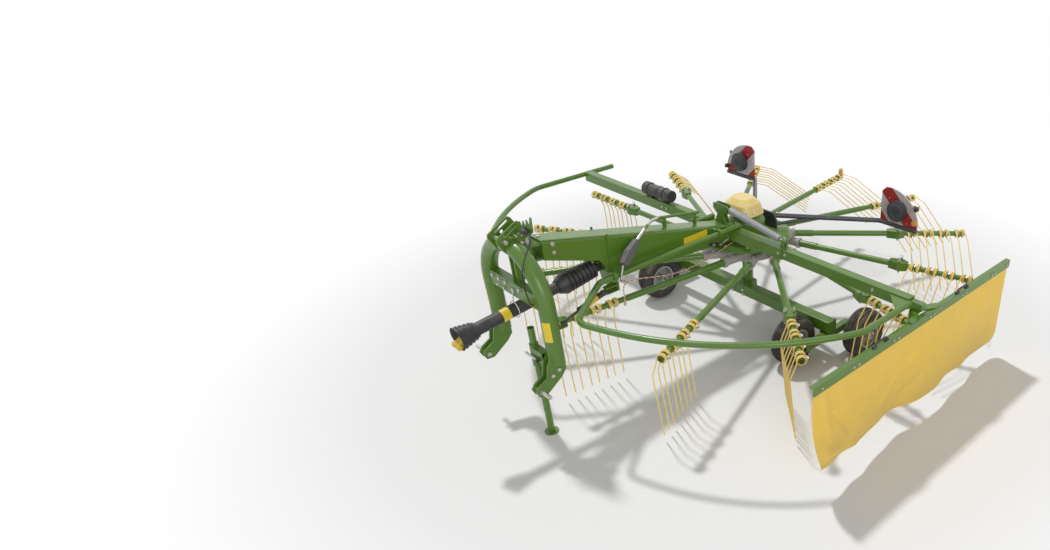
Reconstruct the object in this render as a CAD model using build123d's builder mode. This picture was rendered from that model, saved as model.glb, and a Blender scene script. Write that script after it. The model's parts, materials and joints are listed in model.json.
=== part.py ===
"""Single-rotor rotary hay rake, mounted on a tractor's three-point linkage.

Thirteen tine arms turn on an upright column that stands on an axle beam with
two walking beams and four wheels.  A box-section boom carries the rotor from
a headstock that swivels on an upright pin.  Guard frames fold up on both
sides, and the left one holds the swath curtain on a sliding carrier.

Millimetres, +Z up.  The machine travels towards -Y and its left side is +X.
Machine places are stated from the rotor's axis at ground level, as
at(left, rearward, up), and the frame's origin is the middle of the whole
machine's footprint.
"""

import os
from math import cos, pi, radians, sin, tan

from build123d import *

os.makedirs("parts", exist_ok=True)

# ---------------------------------------------------------------- driving sizes
# rotor
ARM_COUNT = 13
ARM_LENGTH = 1850.0  # from the foot of the arm's offset to its open end
ARM_OFFSET = 185.0  # arms run beside the axis, not through it
ARM_HEIGHT = 672.0
FIRST_ARM_DEG = -40.5
ARM_OD = 48.0
ARM_TIP_OD = 42.0
SLEEVE_OD = 57.0
SLEEVE_LENGTH = 150.0
SOCKET_START = 185.0
SOCKET_END = 400.0
SOCKET_OD = 66.0
SOCKET_COLLAR_OD = 84.0
SOCKET_COLLAR_LENGTH = 26.0
HUB_RADIUS = 295.0
HUB_THICKNESS = 84.0
FOLD_JOINT_AT = 1276.0  # from the offset's foot to the folding bracket
FOLD_BRACKET_LENGTH = 120.0
FOLD_BRACKET_WIDTH = 92.0
FOLD_BRACKET_HEIGHT = 64.0
TUBE_WALL = 5.0

# spring tines
TINES_PER_ARM = 4
TINE_PITCH = 136.0
TINE_LAST_AT = 1808.0  # centre of the outermost double tine
TINE_WIRE = 9.5
COIL_OD = 72.0
COIL_WIDTH = 22.0
COIL_GAP = 28.0
PRONG_ELBOW = (74.0, 148.0)  # back, down from the arm's axis
PRONG_TIP = (30.0, 620.0)

# column, axle and wheels
COLUMN_OD = 90.0
AXLE_Y = -72.0
AXLE_TOP = 330.0
AXLE_SIZE = 96.0
ROCKER_X = 950.0
ROCKER_Y = -90.0
ROCKER_SIZE = 60.0
WHEELBASE = 472.0
TYRE_OD = 394.0
TYRE_WIDTH = 157.0
RIM_SEAT_OD = 212.0
RIM_FLANGE_OD = 222.0
INNER_WHEEL_X = 810.0
OUTER_WHEEL_X = 1138.0
STUB_OD = 30.0
HUB_OD = 62.0

# rotor housing and dome
HOUSING_RADIUS = 372.0
HOUSING_BOTTOM = 736.0
HOUSING_TOP = 776.0
GEARBOX_RADIUS = 152.0
DOME_BOTTOM = 948.0
DOME_TOP = 1074.0
DOME_CENTRE = (-10.0, -30.0)  # left, rearward

# boom
BOOM_HALF_WIDTH = 84.0
BOOM_WALL = 6.0
BOOM_FRONT_Y = -1890.0
BOOM_REAR_Y = -100.0
BOOM_TOP_FRONT = 1324.0
BOOM_TOP_REAR = 886.0

# headstock
ARCH_Y = -2065.0
ARCH_HALF_WIDTH = 328.0
ARCH_SPRING_Z = 1005.0  # height where the legs go over into the round top
ARCH_TUBE_OD = 108.0
ARCH_BOTTOM = 610.0
SWIVEL_Y = -1945.0
SWIVEL_PIN_OD = 40.0
LINK_PIN_Y = -2220.0
LINK_PIN_Z = 478.0
LINK_PIN_OD = 28.0
LINK_PIN_LENGTH = 88.0  # the free stretch that takes the tractor's lower link
LINK_SHANK_OD = 32.0
LINK_SHOULDER = 4.0
JACK_X = 172.0
JACK_Y = -2118.0

# guards
GUARD_X = 1812.0
GUARD_Z = 900.0
GUARD_RADIUS = 1988.0
GUARD_TUBE_OD = 42.4
GUARD_HINGE_X = 150.0
GUARD_HINGE_Z = 932.0
BEAM_Y = -270.0
BEAM_TOP = 918.0

# curtain
CURTAIN_X = 1912.0
CURTAIN_FRONT = -1406.0
CURTAIN_REAR = 865.0
CURTAIN_THICKNESS = 6.0

# drive shaft
SHAFT_FRONT = (-2500.0, 853.0)  # rearward, up
SHAFT_REAR = (-1400.0, 978.0)
SHAFT_GUARD_OD = 84.0

RUNNING_FIT = 0.05
SEAT_GAP = 0.3

# the machine's outermost places, seen from the rotor's axis
ROTOR_REACH = 1866.0
MACHINE_FRONT_Y = -2557.0

# ------------------------------------------------------------------- the frame
CENTRE_X = (CURTAIN_X - ROTOR_REACH) / 2
CENTRE_Y = (ROTOR_REACH + MACHINE_FRONT_Y) / 2


def at(left: float, rearward: float, up: float) -> Vector:
    """A place on the machine, stated from the rotor's axis at ground level."""
    return Vector(left - CENTRE_X, rearward - CENTRE_Y, up)


SIDE = Plane(origin=at(0, 0, 0), x_dir=(0, 1, 0), z_dir=(1, 0, 0))  # (rearward, up)
FRONT = Plane(origin=at(0, 0, 0), x_dir=(1, 0, 0), z_dir=(0, -1, 0))  # (left, up)
GROUND = Plane(origin=at(0, 0, 0))  # (left, rearward)


def across(position: Vector, direction: Vector) -> Plane:
    """A plane square to a tube's run, for the tube's section."""
    return Plane(origin=position, z_dir=direction)


def bar(start: Vector, end: Vector, radius: float, mode: Mode = Mode.ADD) -> None:
    """A round bar between two places, in the piece being built."""
    with BuildSketch(across(start, end - start)) as section:
        Circle(radius)
    extrude(section.sketch, amount=(end - start).length, mode=mode)


def plate(plane: Plane, outline: list, thickness: float, mode: Mode = Mode.ADD) -> None:
    """A flat plate standing on a plane, in the piece being built."""
    with BuildSketch(plane) as face:
        with BuildLine():
            Polyline(*outline, close=True)
        make_face()
    extrude(face.sketch, amount=thickness, mode=mode)


def bent_tube(path: Wire, radius: float, mode: Mode = Mode.ADD) -> None:
    """A tube or rod along a bent path, in the piece being built."""
    with BuildSketch(across(path @ 0, path % 0)) as section:
        Circle(radius)
    sweep(section.sketch, path=path, mode=mode)


# ------------------------------------------------------------ axle and column
AXLE_WALL = 6.0
EAR_THICKNESS = 10.0
EAR_GAP = 2.0
PIVOT_OD = 30.0
AXLE_BOTTOM = AXLE_TOP - AXLE_SIZE
WHEEL_Z = TYRE_OD / 2
EAR_INNER_X = ROCKER_X - ROCKER_SIZE / 2 - EAR_GAP - EAR_THICKNESS / 2
EAR_OUTER_X = ROCKER_X + ROCKER_SIZE / 2 + EAR_GAP + EAR_THICKNESS / 2

with BuildPart() as axle_beam:
    with BuildSketch(SIDE):
        with Locations((AXLE_Y, AXLE_TOP - AXLE_SIZE / 2)):
            RectangleRounded(AXLE_SIZE, AXLE_SIZE, 10)
            Rectangle(AXLE_SIZE - 2 * AXLE_WALL, AXLE_SIZE - 2 * AXLE_WALL, mode=Mode.SUBTRACT)
    extrude(amount=EAR_OUTER_X - EAR_THICKNESS / 2, both=True)
    for side in (1, -1):
        # the outer ear closes the beam's end, the inner one hangs under it
        ear_foot = [
            (AXLE_Y + AXLE_SIZE / 2, AXLE_BOTTOM),
            (ROCKER_Y + PIVOT_OD, WHEEL_Z),
            (ROCKER_Y, WHEEL_Z - 1.2 * PIVOT_OD),
            (ROCKER_Y - PIVOT_OD, WHEEL_Z),
            (AXLE_Y - AXLE_SIZE / 2, AXLE_BOTTOM),
        ]
        ear_head = [(AXLE_Y - AXLE_SIZE / 2, AXLE_TOP), (AXLE_Y + AXLE_SIZE / 2, AXLE_TOP)]
        outer_face = side * EAR_OUTER_X - EAR_THICKNESS / 2
        inner_face = side * EAR_INNER_X - EAR_THICKNESS / 2
        plate(SIDE.offset(outer_face), ear_foot + ear_head, EAR_THICKNESS)
        plate(SIDE.offset(inner_face), ear_foot, EAR_THICKNESS)
        with BuildSketch(SIDE.offset(side * ROCKER_X)):
            with Locations((ROCKER_Y, WHEEL_Z)):
                Circle(PIVOT_OD / 2)
        extrude(amount=ROCKER_SIZE / 2 + EAR_GAP + EAR_THICKNESS + 4, both=True)

axle_beam.part.label = "axle_beam"
export_step(axle_beam.part, "parts/axle_beam.step")

COLUMN_BORE = 66.0
SADDLE_HALF_WIDTH = 62.0
AXLE_BACK = AXLE_Y + AXLE_SIZE / 2

with BuildPart() as centre_column:
    with BuildSketch(GROUND.offset(AXLE_TOP)):
        Circle(COLUMN_OD / 2)
    extrude(amount=HOUSING_BOTTOM - AXLE_TOP)
    # the saddle that carries the column on the axle beam's back
    with BuildSketch(GROUND.offset(AXLE_BOTTOM)):
        with Locations((0, (AXLE_BACK + COLUMN_OD / 2) / 2)):
            Rectangle(2 * SADDLE_HALF_WIDTH, COLUMN_OD / 2 - AXLE_BACK)
    extrude(amount=AXLE_SIZE)
    with BuildSketch(GROUND.offset(AXLE_BOTTOM)):
        Circle(COLUMN_BORE / 2)
        with Locations((0, AXLE_BACK - COLUMN_BORE / 2)):
            Rectangle(COLUMN_BORE, COLUMN_BORE, mode=Mode.SUBTRACT)
    extrude(amount=AXLE_SIZE, mode=Mode.SUBTRACT)
    with BuildSketch(GROUND.offset(AXLE_TOP)):
        Circle(COLUMN_BORE / 2)
    extrude(amount=HOUSING_BOTTOM - AXLE_TOP, mode=Mode.SUBTRACT)

centre_column.part.label = "centre_column"
export_step(centre_column.part, "parts/centre_column.step")

# ---------------------------------------------------------- rockers and wheels
ROCKER_WALL = 5.0
ROCKER_OVERHANG = 34.0
HUB_REACH = 8.0  # how far a wheel's hub stands out of its tyre's side
STUB_WASHER = 2.0
WHEEL_TABLE = (  # name, side, distance out, rearward of the rocker's pivot
    ("front_left", 1, INNER_WHEEL_X, -WHEELBASE / 2),
    ("rear_left", 1, OUTER_WHEEL_X, WHEELBASE / 2),
    ("front_right", -1, INNER_WHEEL_X, -WHEELBASE / 2),
    ("rear_right", -1, OUTER_WHEEL_X, WHEELBASE / 2),
)

for side, side_name in ((1, "left"), (-1, "right")):
    with BuildPart() as rocker:
        with BuildSketch(Plane(origin=at(side * ROCKER_X, ROCKER_Y, WHEEL_Z), z_dir=(0, 1, 0))):
            RectangleRounded(ROCKER_SIZE, ROCKER_SIZE, 7)
            Rectangle(ROCKER_SIZE - 2 * ROCKER_WALL, ROCKER_SIZE - 2 * ROCKER_WALL, mode=Mode.SUBTRACT)
        extrude(amount=WHEELBASE / 2 + ROCKER_OVERHANG, both=True)
        # the pivot's bush and the two stub axles, one to each side
        pivot_face = Plane(origin=at(side * ROCKER_X, ROCKER_Y, WHEEL_Z), z_dir=(1, 0, 0))
        with BuildSketch(pivot_face):
            Circle(PIVOT_OD / 2 + 8)
        extrude(amount=ROCKER_SIZE / 2, both=True)
        with BuildSketch(pivot_face):
            Circle(PIVOT_OD / 2 + SEAT_GAP)
        extrude(amount=ROCKER_SIZE, both=True, mode=Mode.SUBTRACT)
        for wheel_x, wheel_y in ((INNER_WHEEL_X, -WHEELBASE / 2), (OUTER_WHEEL_X, WHEELBASE / 2)):
            outward = 1 if wheel_x > ROCKER_X else -1
            stub_length = abs(wheel_x - ROCKER_X) + TYRE_WIDTH / 2 + HUB_REACH + 6
            stub_root = Plane(
                origin=at(side * ROCKER_X, ROCKER_Y + wheel_y, WHEEL_Z),
                z_dir=(side * outward, 0, 0),
            )
            with BuildSketch(stub_root):
                Circle(STUB_OD / 2)
            extrude(amount=stub_length)
            with BuildSketch(stub_root):
                Circle(STUB_OD / 2 + 10)
            extrude(amount=abs(wheel_x - ROCKER_X) - TYRE_WIDTH / 2 - HUB_REACH - STUB_WASHER)
    rocker.part.label = f"rocker_{side_name}"
    export_step(rocker.part, f"parts/rocker_{side_name}.step")

RIM_HALF_WIDTH = 62.0
RIM_WALL = 4.0
TREAD_HALF_WIDTH = 64.0
SHOULDER_R = TYRE_OD / 2 - 8
SIDEWALL_R = (TYRE_OD + RIM_SEAT_OD) / 4
DISC_OFFSET = 12.0

for wheel_name, side, wheel_x, wheel_y in WHEEL_TABLE:
    wheel_plane = Plane(
        origin=at(side * wheel_x, ROCKER_Y + wheel_y, WHEEL_Z), x_dir=(1, 0, 0), z_dir=(0, -1, 0)
    )
    wheel_axis = Axis(wheel_plane.origin, (1, 0, 0))
    with BuildPart() as tyre:
        with BuildSketch(wheel_plane):
            with BuildLine():
                bead_r = RIM_SEAT_OD / 2 + 0.1
                bead_x = RIM_HALF_WIDTH - RIM_WALL
                wall_r = RIM_FLANGE_OD / 2 + 0.5
                Polyline((-bead_x, wall_r), (-bead_x, bead_r), (bead_x, bead_r), (bead_x, wall_r))
                ThreePointArc((bead_x, wall_r), (TYRE_WIDTH / 2, SIDEWALL_R), (TREAD_HALF_WIDTH, SHOULDER_R))
                ThreePointArc(
                    (TREAD_HALF_WIDTH, SHOULDER_R), (0, TYRE_OD / 2), (-TREAD_HALF_WIDTH, SHOULDER_R)
                )
                ThreePointArc(
                    (-TREAD_HALF_WIDTH, SHOULDER_R), (-TYRE_WIDTH / 2, SIDEWALL_R), (-bead_x, wall_r)
                )
            make_face()
        revolve(axis=wheel_axis)
    tyre.part.label = f"tyre_{wheel_name}"
    export_step(tyre.part, f"parts/tyre_{wheel_name}.step")

    with BuildPart() as rim:
        with BuildSketch(wheel_plane):
            seat_r = RIM_SEAT_OD / 2
            flange_x = RIM_HALF_WIDTH - RIM_WALL + 0.3
            with BuildLine():  # the barrel with its two flanges
                Polyline(
                    (-flange_x, seat_r - RIM_WALL),
                    (-flange_x, RIM_FLANGE_OD / 2),
                    (-flange_x - RIM_WALL, RIM_FLANGE_OD / 2),
                    (-flange_x - RIM_WALL, seat_r - 2 * RIM_WALL),
                    (flange_x + RIM_WALL, seat_r - 2 * RIM_WALL),
                    (flange_x + RIM_WALL, RIM_FLANGE_OD / 2),
                    (flange_x, RIM_FLANGE_OD / 2),
                    (flange_x, seat_r - RIM_WALL),
                    close=True,
                )
            make_face()
            # the disc
            with Locations((side * DISC_OFFSET, (seat_r - RIM_WALL + HUB_OD / 2) / 2)):
                Rectangle(6, seat_r - RIM_WALL - HUB_OD / 2)
            # the hub on its bearings
            with Locations((0, (HUB_OD / 2 + STUB_OD / 2 + RUNNING_FIT) / 2)):
                Rectangle(TYRE_WIDTH + 2 * HUB_REACH - 12, HUB_OD / 2 - STUB_OD / 2 - RUNNING_FIT)
        revolve(axis=wheel_axis)
    rim.part.label = f"rim_{wheel_name}"
    export_step(rim.part, f"parts/rim_{wheel_name}.step")

# ------------------------------------------------------------------- the rotor
HUB_BOTTOM = ARM_HEIGHT - HUB_THICKNESS / 2
HUB_TOP = ARM_HEIGHT + HUB_THICKNESS / 2
HUB_RING_WIDTH = 62.0
HUB_BOSS_OD = 176.0
HUB_WEB = 26.0
ARM_START = 300.0
FOLD_LUG_PIN_OD = 18.0

# arm, lift in degrees from working to carried, whether the outer arm folds up
ARM_TABLE = (
    (0.0, True),
    (14.0, True),
    (58.0, True),
    (64.0, True),
    (66.0, False),
    (68.0, False),
    (62.0, False),
    (38.0, True),
    (8.0, True),
    (0.0, False),
    (0.0, False),
    (0.0, False),
    (0.0, False),
)


def arm_frame(index: int) -> tuple[Vector, Vector, Vector]:
    """Foot of an arm's offset, the arm's outward run and the way it turns."""
    angle = radians(FIRST_ARM_DEG + index * 360 / ARM_COUNT)
    outward = Vector(cos(angle), sin(angle), 0)
    leading = Vector(-sin(angle), cos(angle), 0)
    return at(0, 0, ARM_HEIGHT) + leading * ARM_OFFSET, outward, leading


with BuildPart() as rotor_hub:
    with BuildSketch(FRONT):
        column_r = COLUMN_OD / 2 + RUNNING_FIT
        with BuildLine():
            Polyline(
                (column_r, HUB_BOTTOM - 24),
                (HUB_BOSS_OD / 2, HUB_BOTTOM - 24),
                (HUB_BOSS_OD / 2, ARM_HEIGHT - HUB_WEB / 2),
                (HUB_RADIUS - HUB_RING_WIDTH, ARM_HEIGHT - HUB_WEB / 2),
                (HUB_RADIUS - HUB_RING_WIDTH, HUB_BOTTOM),
                (HUB_RADIUS, HUB_BOTTOM),
                (HUB_RADIUS, HUB_TOP),
                (HUB_RADIUS - HUB_RING_WIDTH, HUB_TOP),
                (HUB_RADIUS - HUB_RING_WIDTH, ARM_HEIGHT + HUB_WEB / 2),
                (HUB_BOSS_OD / 2, ARM_HEIGHT + HUB_WEB / 2),
                (HUB_BOSS_OD / 2, HUB_TOP),
                (column_r, HUB_TOP),
                close=True,
            )
        make_face()
    revolve(axis=Axis(at(0, 0, 0), (0, 0, 1)))
    for index in range(ARM_COUNT):
        foot, outward, leading = arm_frame(index)
        with BuildSketch(across(foot + outward * SOCKET_START, outward)):
            Circle(SOCKET_OD / 2)
        extrude(amount=SOCKET_END - SOCKET_START)
        with BuildSketch(across(foot + outward * (SOCKET_END - SOCKET_COLLAR_LENGTH), outward)):
            Circle(SOCKET_COLLAR_OD / 2)
        extrude(amount=SOCKET_COLLAR_LENGTH)
        with BuildSketch(across(foot + outward * (ARM_START - 10), outward)):
            Circle(ARM_OD / 2 + 0.1)
        extrude(amount=SOCKET_END - ARM_START + 20, mode=Mode.SUBTRACT)

rotor_hub.part.label = "rotor_hub"
export_step(rotor_hub.part, "parts/rotor_hub.step")

with BuildPart() as tine_arms:
    for index, (lift, folds) in enumerate(ARM_TABLE):
        foot, outward, leading = arm_frame(index)
        with BuildSketch(across(foot + outward * ARM_START, outward)):
            Circle(ARM_OD / 2)
        extrude(amount=FOLD_JOINT_AT - ARM_START)
        with BuildSketch(across(foot + outward * (SOCKET_END + SEAT_GAP), outward)):
            Circle(SLEEVE_OD / 2)
        extrude(amount=SLEEVE_LENGTH)
        with BuildSketch(across(foot + outward * FOLD_JOINT_AT, outward)):
            Circle(ARM_TIP_OD / 2)
        extrude(amount=ARM_LENGTH - FOLD_JOINT_AT)
        with BuildSketch(across(foot + outward * (ARM_LENGTH - 40), outward)):
            Circle(ARM_TIP_OD / 2 - TUBE_WALL)
        extrude(amount=40, mode=Mode.SUBTRACT)
        if folds:
            joint_plane = Plane(origin=foot + outward * FOLD_JOINT_AT, x_dir=outward, z_dir=(0, 0, 1))
            with BuildSketch(joint_plane.offset(-FOLD_BRACKET_HEIGHT / 2)):
                with BuildLine():
                    half = FOLD_BRACKET_LENGTH / 2
                    Polyline(
                        (-half - 30, -ARM_OD / 2),
                        (-14, -FOLD_BRACKET_WIDTH / 2),
                        (14, -FOLD_BRACKET_WIDTH / 2),
                        (half, -ARM_TIP_OD / 2),
                        (half, ARM_TIP_OD / 2),
                        (14, FOLD_BRACKET_WIDTH / 2),
                        (-14, FOLD_BRACKET_WIDTH / 2),
                        (-half - 30, ARM_OD / 2),
                        close=True,
                    )
                make_face()
            extrude(amount=FOLD_BRACKET_HEIGHT)
            with BuildSketch(joint_plane.offset(-FOLD_BRACKET_HEIGHT / 2 - 9)):
                with Locations((0, FOLD_BRACKET_WIDTH / 2 - 16), (0, -FOLD_BRACKET_WIDTH / 2 + 16)):
                    RegularPolygon(FOLD_LUG_PIN_OD / 2, 6)
            extrude(amount=FOLD_BRACKET_HEIGHT + 18)

tine_arms.part.label = "tine_arms"
export_step(tine_arms.part, "parts/tine_arms.step")

# one double tine, drawn with x back, y down and z along the arm
COIL_SIDES = 8
WIRE_SIDES = 6
PRONG_AT = COIL_GAP / 2 + COIL_WIDTH - TINE_WIRE / 2
COIL_MEAN_R = (COIL_OD - TINE_WIRE) / 2

with BuildPart() as double_tine:
    for end in (1, -1):
        near_z = min(end * COIL_GAP / 2, end * (COIL_GAP / 2 + COIL_WIDTH))
        with BuildSketch(Plane.XY.offset(near_z)):
            RegularPolygon(COIL_OD / 2, COIL_SIDES)
            RegularPolygon(
                ARM_TIP_OD / 2 + SEAT_GAP, COIL_SIDES, major_radius=False, mode=Mode.SUBTRACT
            )
        extrude(amount=COIL_WIDTH)
        with BuildLine() as prong_line:
            Polyline(
                (COIL_MEAN_R, 0, end * PRONG_AT),
                (PRONG_ELBOW[0], PRONG_ELBOW[1], end * PRONG_AT),
                (PRONG_TIP[0], PRONG_TIP[1], end * PRONG_AT),
            )
        with BuildSketch(across(prong_line.line @ 0, prong_line.line % 0)):
            RegularPolygon(TINE_WIRE / 2, WIRE_SIDES)
        sweep(path=prong_line.line, transition=Transition.RIGHT)
    # the bow that joins the two coils, held by the arm's bolt
    with BuildSketch(Plane.XY.offset(-COIL_GAP / 2)):
        with Locations((-COIL_MEAN_R, 0)):
            RegularPolygon(TINE_WIRE / 2, WIRE_SIDES)
    extrude(amount=COIL_GAP)

tine_places = []
for index, (lift, folds) in enumerate(ARM_TABLE):
    foot, outward, leading = arm_frame(index)
    back = leading * -cos(radians(lift)) + Vector(0, 0, 1) * sin(radians(lift))
    for number in range(TINES_PER_ARM):
        along = TINE_LAST_AT - number * TINE_PITCH
        tine_places.append(Plane(origin=foot + outward * along, x_dir=back, z_dir=outward))

with BuildPart() as spring_tines:
    with Locations(*[place.location for place in tine_places]):
        add(double_tine.part)

spring_tines.part.label = "spring_tines"
export_step(spring_tines.part, "parts/spring_tines.step")

# ------------------------------------------------- rotor housing, gearbox, dome
HOUSING_RIM_SLOPE = 34.0
GEARBOX_NECK_RADIUS = 118.0
GEARBOX_SHOULDER_Z = 880.0
DOME_FLANGE_RADIUS = 132.0

with BuildPart() as rotor_housing:
    with BuildSketch(FRONT):
        with BuildLine():
            Polyline(
                (0, HOUSING_BOTTOM),
                (HOUSING_RADIUS, HOUSING_BOTTOM),
                (HOUSING_RADIUS, HOUSING_BOTTOM + 12),
                (HOUSING_RADIUS - HOUSING_RIM_SLOPE, HOUSING_TOP),
                (GEARBOX_RADIUS, HOUSING_TOP),
                (GEARBOX_RADIUS, GEARBOX_SHOULDER_Z),
                (GEARBOX_NECK_RADIUS, DOME_BOTTOM - 26),
                (DOME_FLANGE_RADIUS, DOME_BOTTOM - 18),
                (DOME_FLANGE_RADIUS, DOME_BOTTOM),
                (0, DOME_BOTTOM),
                close=True,
            )
        make_face()
    revolve(axis=Axis(at(0, 0, 0), (0, 0, 1)))

rotor_housing.part.label = "rotor_housing"
export_step(rotor_housing.part, "parts/rotor_housing.step")

DOME_BASE = (306.0, 266.0)  # side to side, along the travel
DOME_SHOULDER = (262.0, 226.0)
DOME_SHOULDER_Z = 1032.0
DOME_CROWN = (172.0, 144.0)
DOME_CORNER = 84.0
DOME_CROWN_CORNER = 62.0
DOME_WALL = 5.0

with BuildPart() as dome_cover:
    for wall, mode in ((0, Mode.ADD), (DOME_WALL, Mode.SUBTRACT)):
        with BuildSketch(GROUND.offset(DOME_BOTTOM + SEAT_GAP)) as dome_base:
            with Locations(DOME_CENTRE):
                RectangleRounded(DOME_BASE[0] - 2 * wall, DOME_BASE[1] - 2 * wall, DOME_CORNER - wall)
        with BuildSketch(GROUND.offset(DOME_SHOULDER_Z - wall)) as dome_shoulder:
            with Locations(DOME_CENTRE):
                RectangleRounded(
                    DOME_SHOULDER[0] - 2 * wall, DOME_SHOULDER[1] - 2 * wall, DOME_CORNER - wall
                )
        with BuildSketch(GROUND.offset(DOME_TOP - wall)) as dome_crown:
            with Locations(DOME_CENTRE):
                RectangleRounded(DOME_CROWN[0] - 2 * wall, DOME_CROWN[1] - 2 * wall, DOME_CROWN_CORNER - wall)
        loft([dome_base.sketch, dome_shoulder.sketch], ruled=True, mode=mode)
        loft([dome_shoulder.sketch, dome_crown.sketch], ruled=True, mode=mode)

dome_cover.part.label = "dome_cover"
export_step(dome_cover.part, "parts/dome_cover.step")

# ------------------------------------------------------------------- the boom
BOOM_BOTTOM_FRONT = 1190.0
BOOM_NOSE_LENGTH = 398.0  # the shallow part over the drive shaft's bellows
BOOM_THROAT_TOP = 1050.0
BOOM_THROAT_BOTTOM = 888.0
BOOM_THROAT_RUN = 104.0
BOOM_BOTTOM_REAR = 778.0
FORK_PLATE = 16.0
FORK_TOP_Z = 1296.0
FORK_BOTTOM_Z = 1196.0
FORK_WIDTH = 108.0
SWIVEL_BOSS_OD = 84.0
HINGE_RING_OD = 74.0
HINGE_RING_WIDTH = 26.0
HINGE_RING_Y = (-1440.0, -452.0)
RIB_Y = -1412.0
BOOM_EDGE_RADIUS = 22.0
ROPE_BOLT = (-205.0, 832.0)  # rearward, up
ROPE_BOLT_OD = 10.0

boom_profile = (
    (BOOM_FRONT_Y, BOOM_TOP_FRONT),
    (BOOM_REAR_Y, BOOM_TOP_REAR),
    (BOOM_REAR_Y, BOOM_BOTTOM_REAR),
    (BOOM_FRONT_Y + BOOM_NOSE_LENGTH + BOOM_THROAT_RUN, BOOM_THROAT_BOTTOM),
    (BOOM_FRONT_Y + BOOM_NOSE_LENGTH, BOOM_THROAT_TOP),
    (BOOM_FRONT_Y, BOOM_BOTTOM_FRONT),
)
boom_hollow = (
    (BOOM_FRONT_Y + BOOM_WALL, BOOM_TOP_FRONT - BOOM_WALL),
    (BOOM_REAR_Y - BOOM_WALL, BOOM_TOP_REAR - BOOM_WALL),
    (BOOM_REAR_Y - BOOM_WALL, BOOM_BOTTOM_REAR - BOOM_WALL),
    (BOOM_FRONT_Y + BOOM_NOSE_LENGTH + BOOM_THROAT_RUN, BOOM_THROAT_BOTTOM - BOOM_WALL),
    (BOOM_FRONT_Y + BOOM_NOSE_LENGTH, BOOM_THROAT_TOP - BOOM_WALL),
    (BOOM_FRONT_Y + BOOM_WALL, BOOM_BOTTOM_FRONT - BOOM_WALL),
)

with BuildPart() as boom:
    with BuildSketch(SIDE):
        with BuildLine():
            Polyline(*boom_profile, close=True)
        make_face()
    extrude(amount=BOOM_HALF_WIDTH, both=True)
    boom_back = boom.faces().filter_by(Axis.X, reverse=True).sort_by(SortBy.AREA)[-1]
    fillet(boom_back.edges().filter_by(Axis.X, reverse=True), BOOM_EDGE_RADIUS)
    with BuildSketch(SIDE):
        with BuildLine():
            Polyline(*boom_hollow, close=True)
        make_face()
    extrude(amount=BOOM_HALF_WIDTH - BOOM_WALL, both=True, mode=Mode.SUBTRACT)
    # the fork that holds the swivel pin
    for fork_z in (FORK_TOP_Z, FORK_BOTTOM_Z):
        with BuildSketch(GROUND.offset(fork_z - FORK_PLATE / 2)):
            with BuildLine():
                Polyline(
                    (-FORK_WIDTH / 2 - 20, BOOM_FRONT_Y + 30),
                    (FORK_WIDTH / 2 + 20, BOOM_FRONT_Y + 30),
                    (FORK_WIDTH / 2, SWIVEL_Y),
                    (-FORK_WIDTH / 2, SWIVEL_Y),
                    close=True,
                )
            make_face()
            with Locations((0, SWIVEL_Y)):
                Circle(FORK_WIDTH / 2)
                Circle(SWIVEL_PIN_OD / 2 + RUNNING_FIT, mode=Mode.SUBTRACT)
        extrude(amount=FORK_PLATE)
    for side in (1, -1):
        # the pressed rib on the boom's side
        with BuildSketch(SIDE.offset(side * BOOM_HALF_WIDTH)):
            with Locations((RIB_Y, (BOOM_THROAT_BOTTOM + BOOM_TOP_FRONT) / 2 - 4)):
                SlotOverall(236, 16, rotation=90)
        extrude(amount=side * 7)
        # the rings that hold the guard's hinge tube
        for ring_y in HINGE_RING_Y:
            with BuildSketch(Plane(origin=at(0, ring_y, 0), x_dir=(1, 0, 0), z_dir=(0, -1, 0))):
                with Locations((side * (BOOM_HALF_WIDTH + GUARD_HINGE_X - 2) / 2, GUARD_HINGE_Z)):
                    Rectangle(GUARD_HINGE_X - BOOM_HALF_WIDTH + 2, 0.7 * HINGE_RING_OD)
                with Locations((side * GUARD_HINGE_X, GUARD_HINGE_Z)):
                    Circle(HINGE_RING_OD / 2)
                    Circle(GUARD_TUBE_OD / 2 + RUNNING_FIT, mode=Mode.SUBTRACT)
            extrude(amount=HINGE_RING_WIDTH / 2, both=True)
    # the bolt that the pull rope is tied to
    bar(at(BOOM_HALF_WIDTH - 2, *ROPE_BOLT), at(BOOM_HALF_WIDTH + 30, *ROPE_BOLT), ROPE_BOLT_OD / 2)
    # the rear end seats round the gearbox and on the housing's top
    with BuildSketch(GROUND.offset(HOUSING_TOP)):
        Circle(GEARBOX_RADIUS + SEAT_GAP)
    extrude(amount=GEARBOX_SHOULDER_Z + 60 - HOUSING_TOP, mode=Mode.SUBTRACT)

boom.part.label = "boom"
export_step(boom.part, "parts/boom.step")

# -------------------------------------------------- the lift spring's mast
MAST_PLATE = 8.0
MAST_GAP = 30.0  # between the two plates, for the springs' eyes
MAST_HALF_WIDTH = 78.0
MAST_TOP = 1088.0
SPRING_EYE = (56.0, 1059.0)  # left, up
SPRING_LUG = (662.0, 966.0)
SPRING_PIN_OD = 14.0


def boom_top(rearward: float) -> float:
    """Height of the boom's top at a place along it."""
    share = (rearward - BOOM_FRONT_Y) / (BOOM_REAR_Y - BOOM_FRONT_Y)
    return BOOM_TOP_FRONT + share * (BOOM_TOP_REAR - BOOM_TOP_FRONT)


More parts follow.
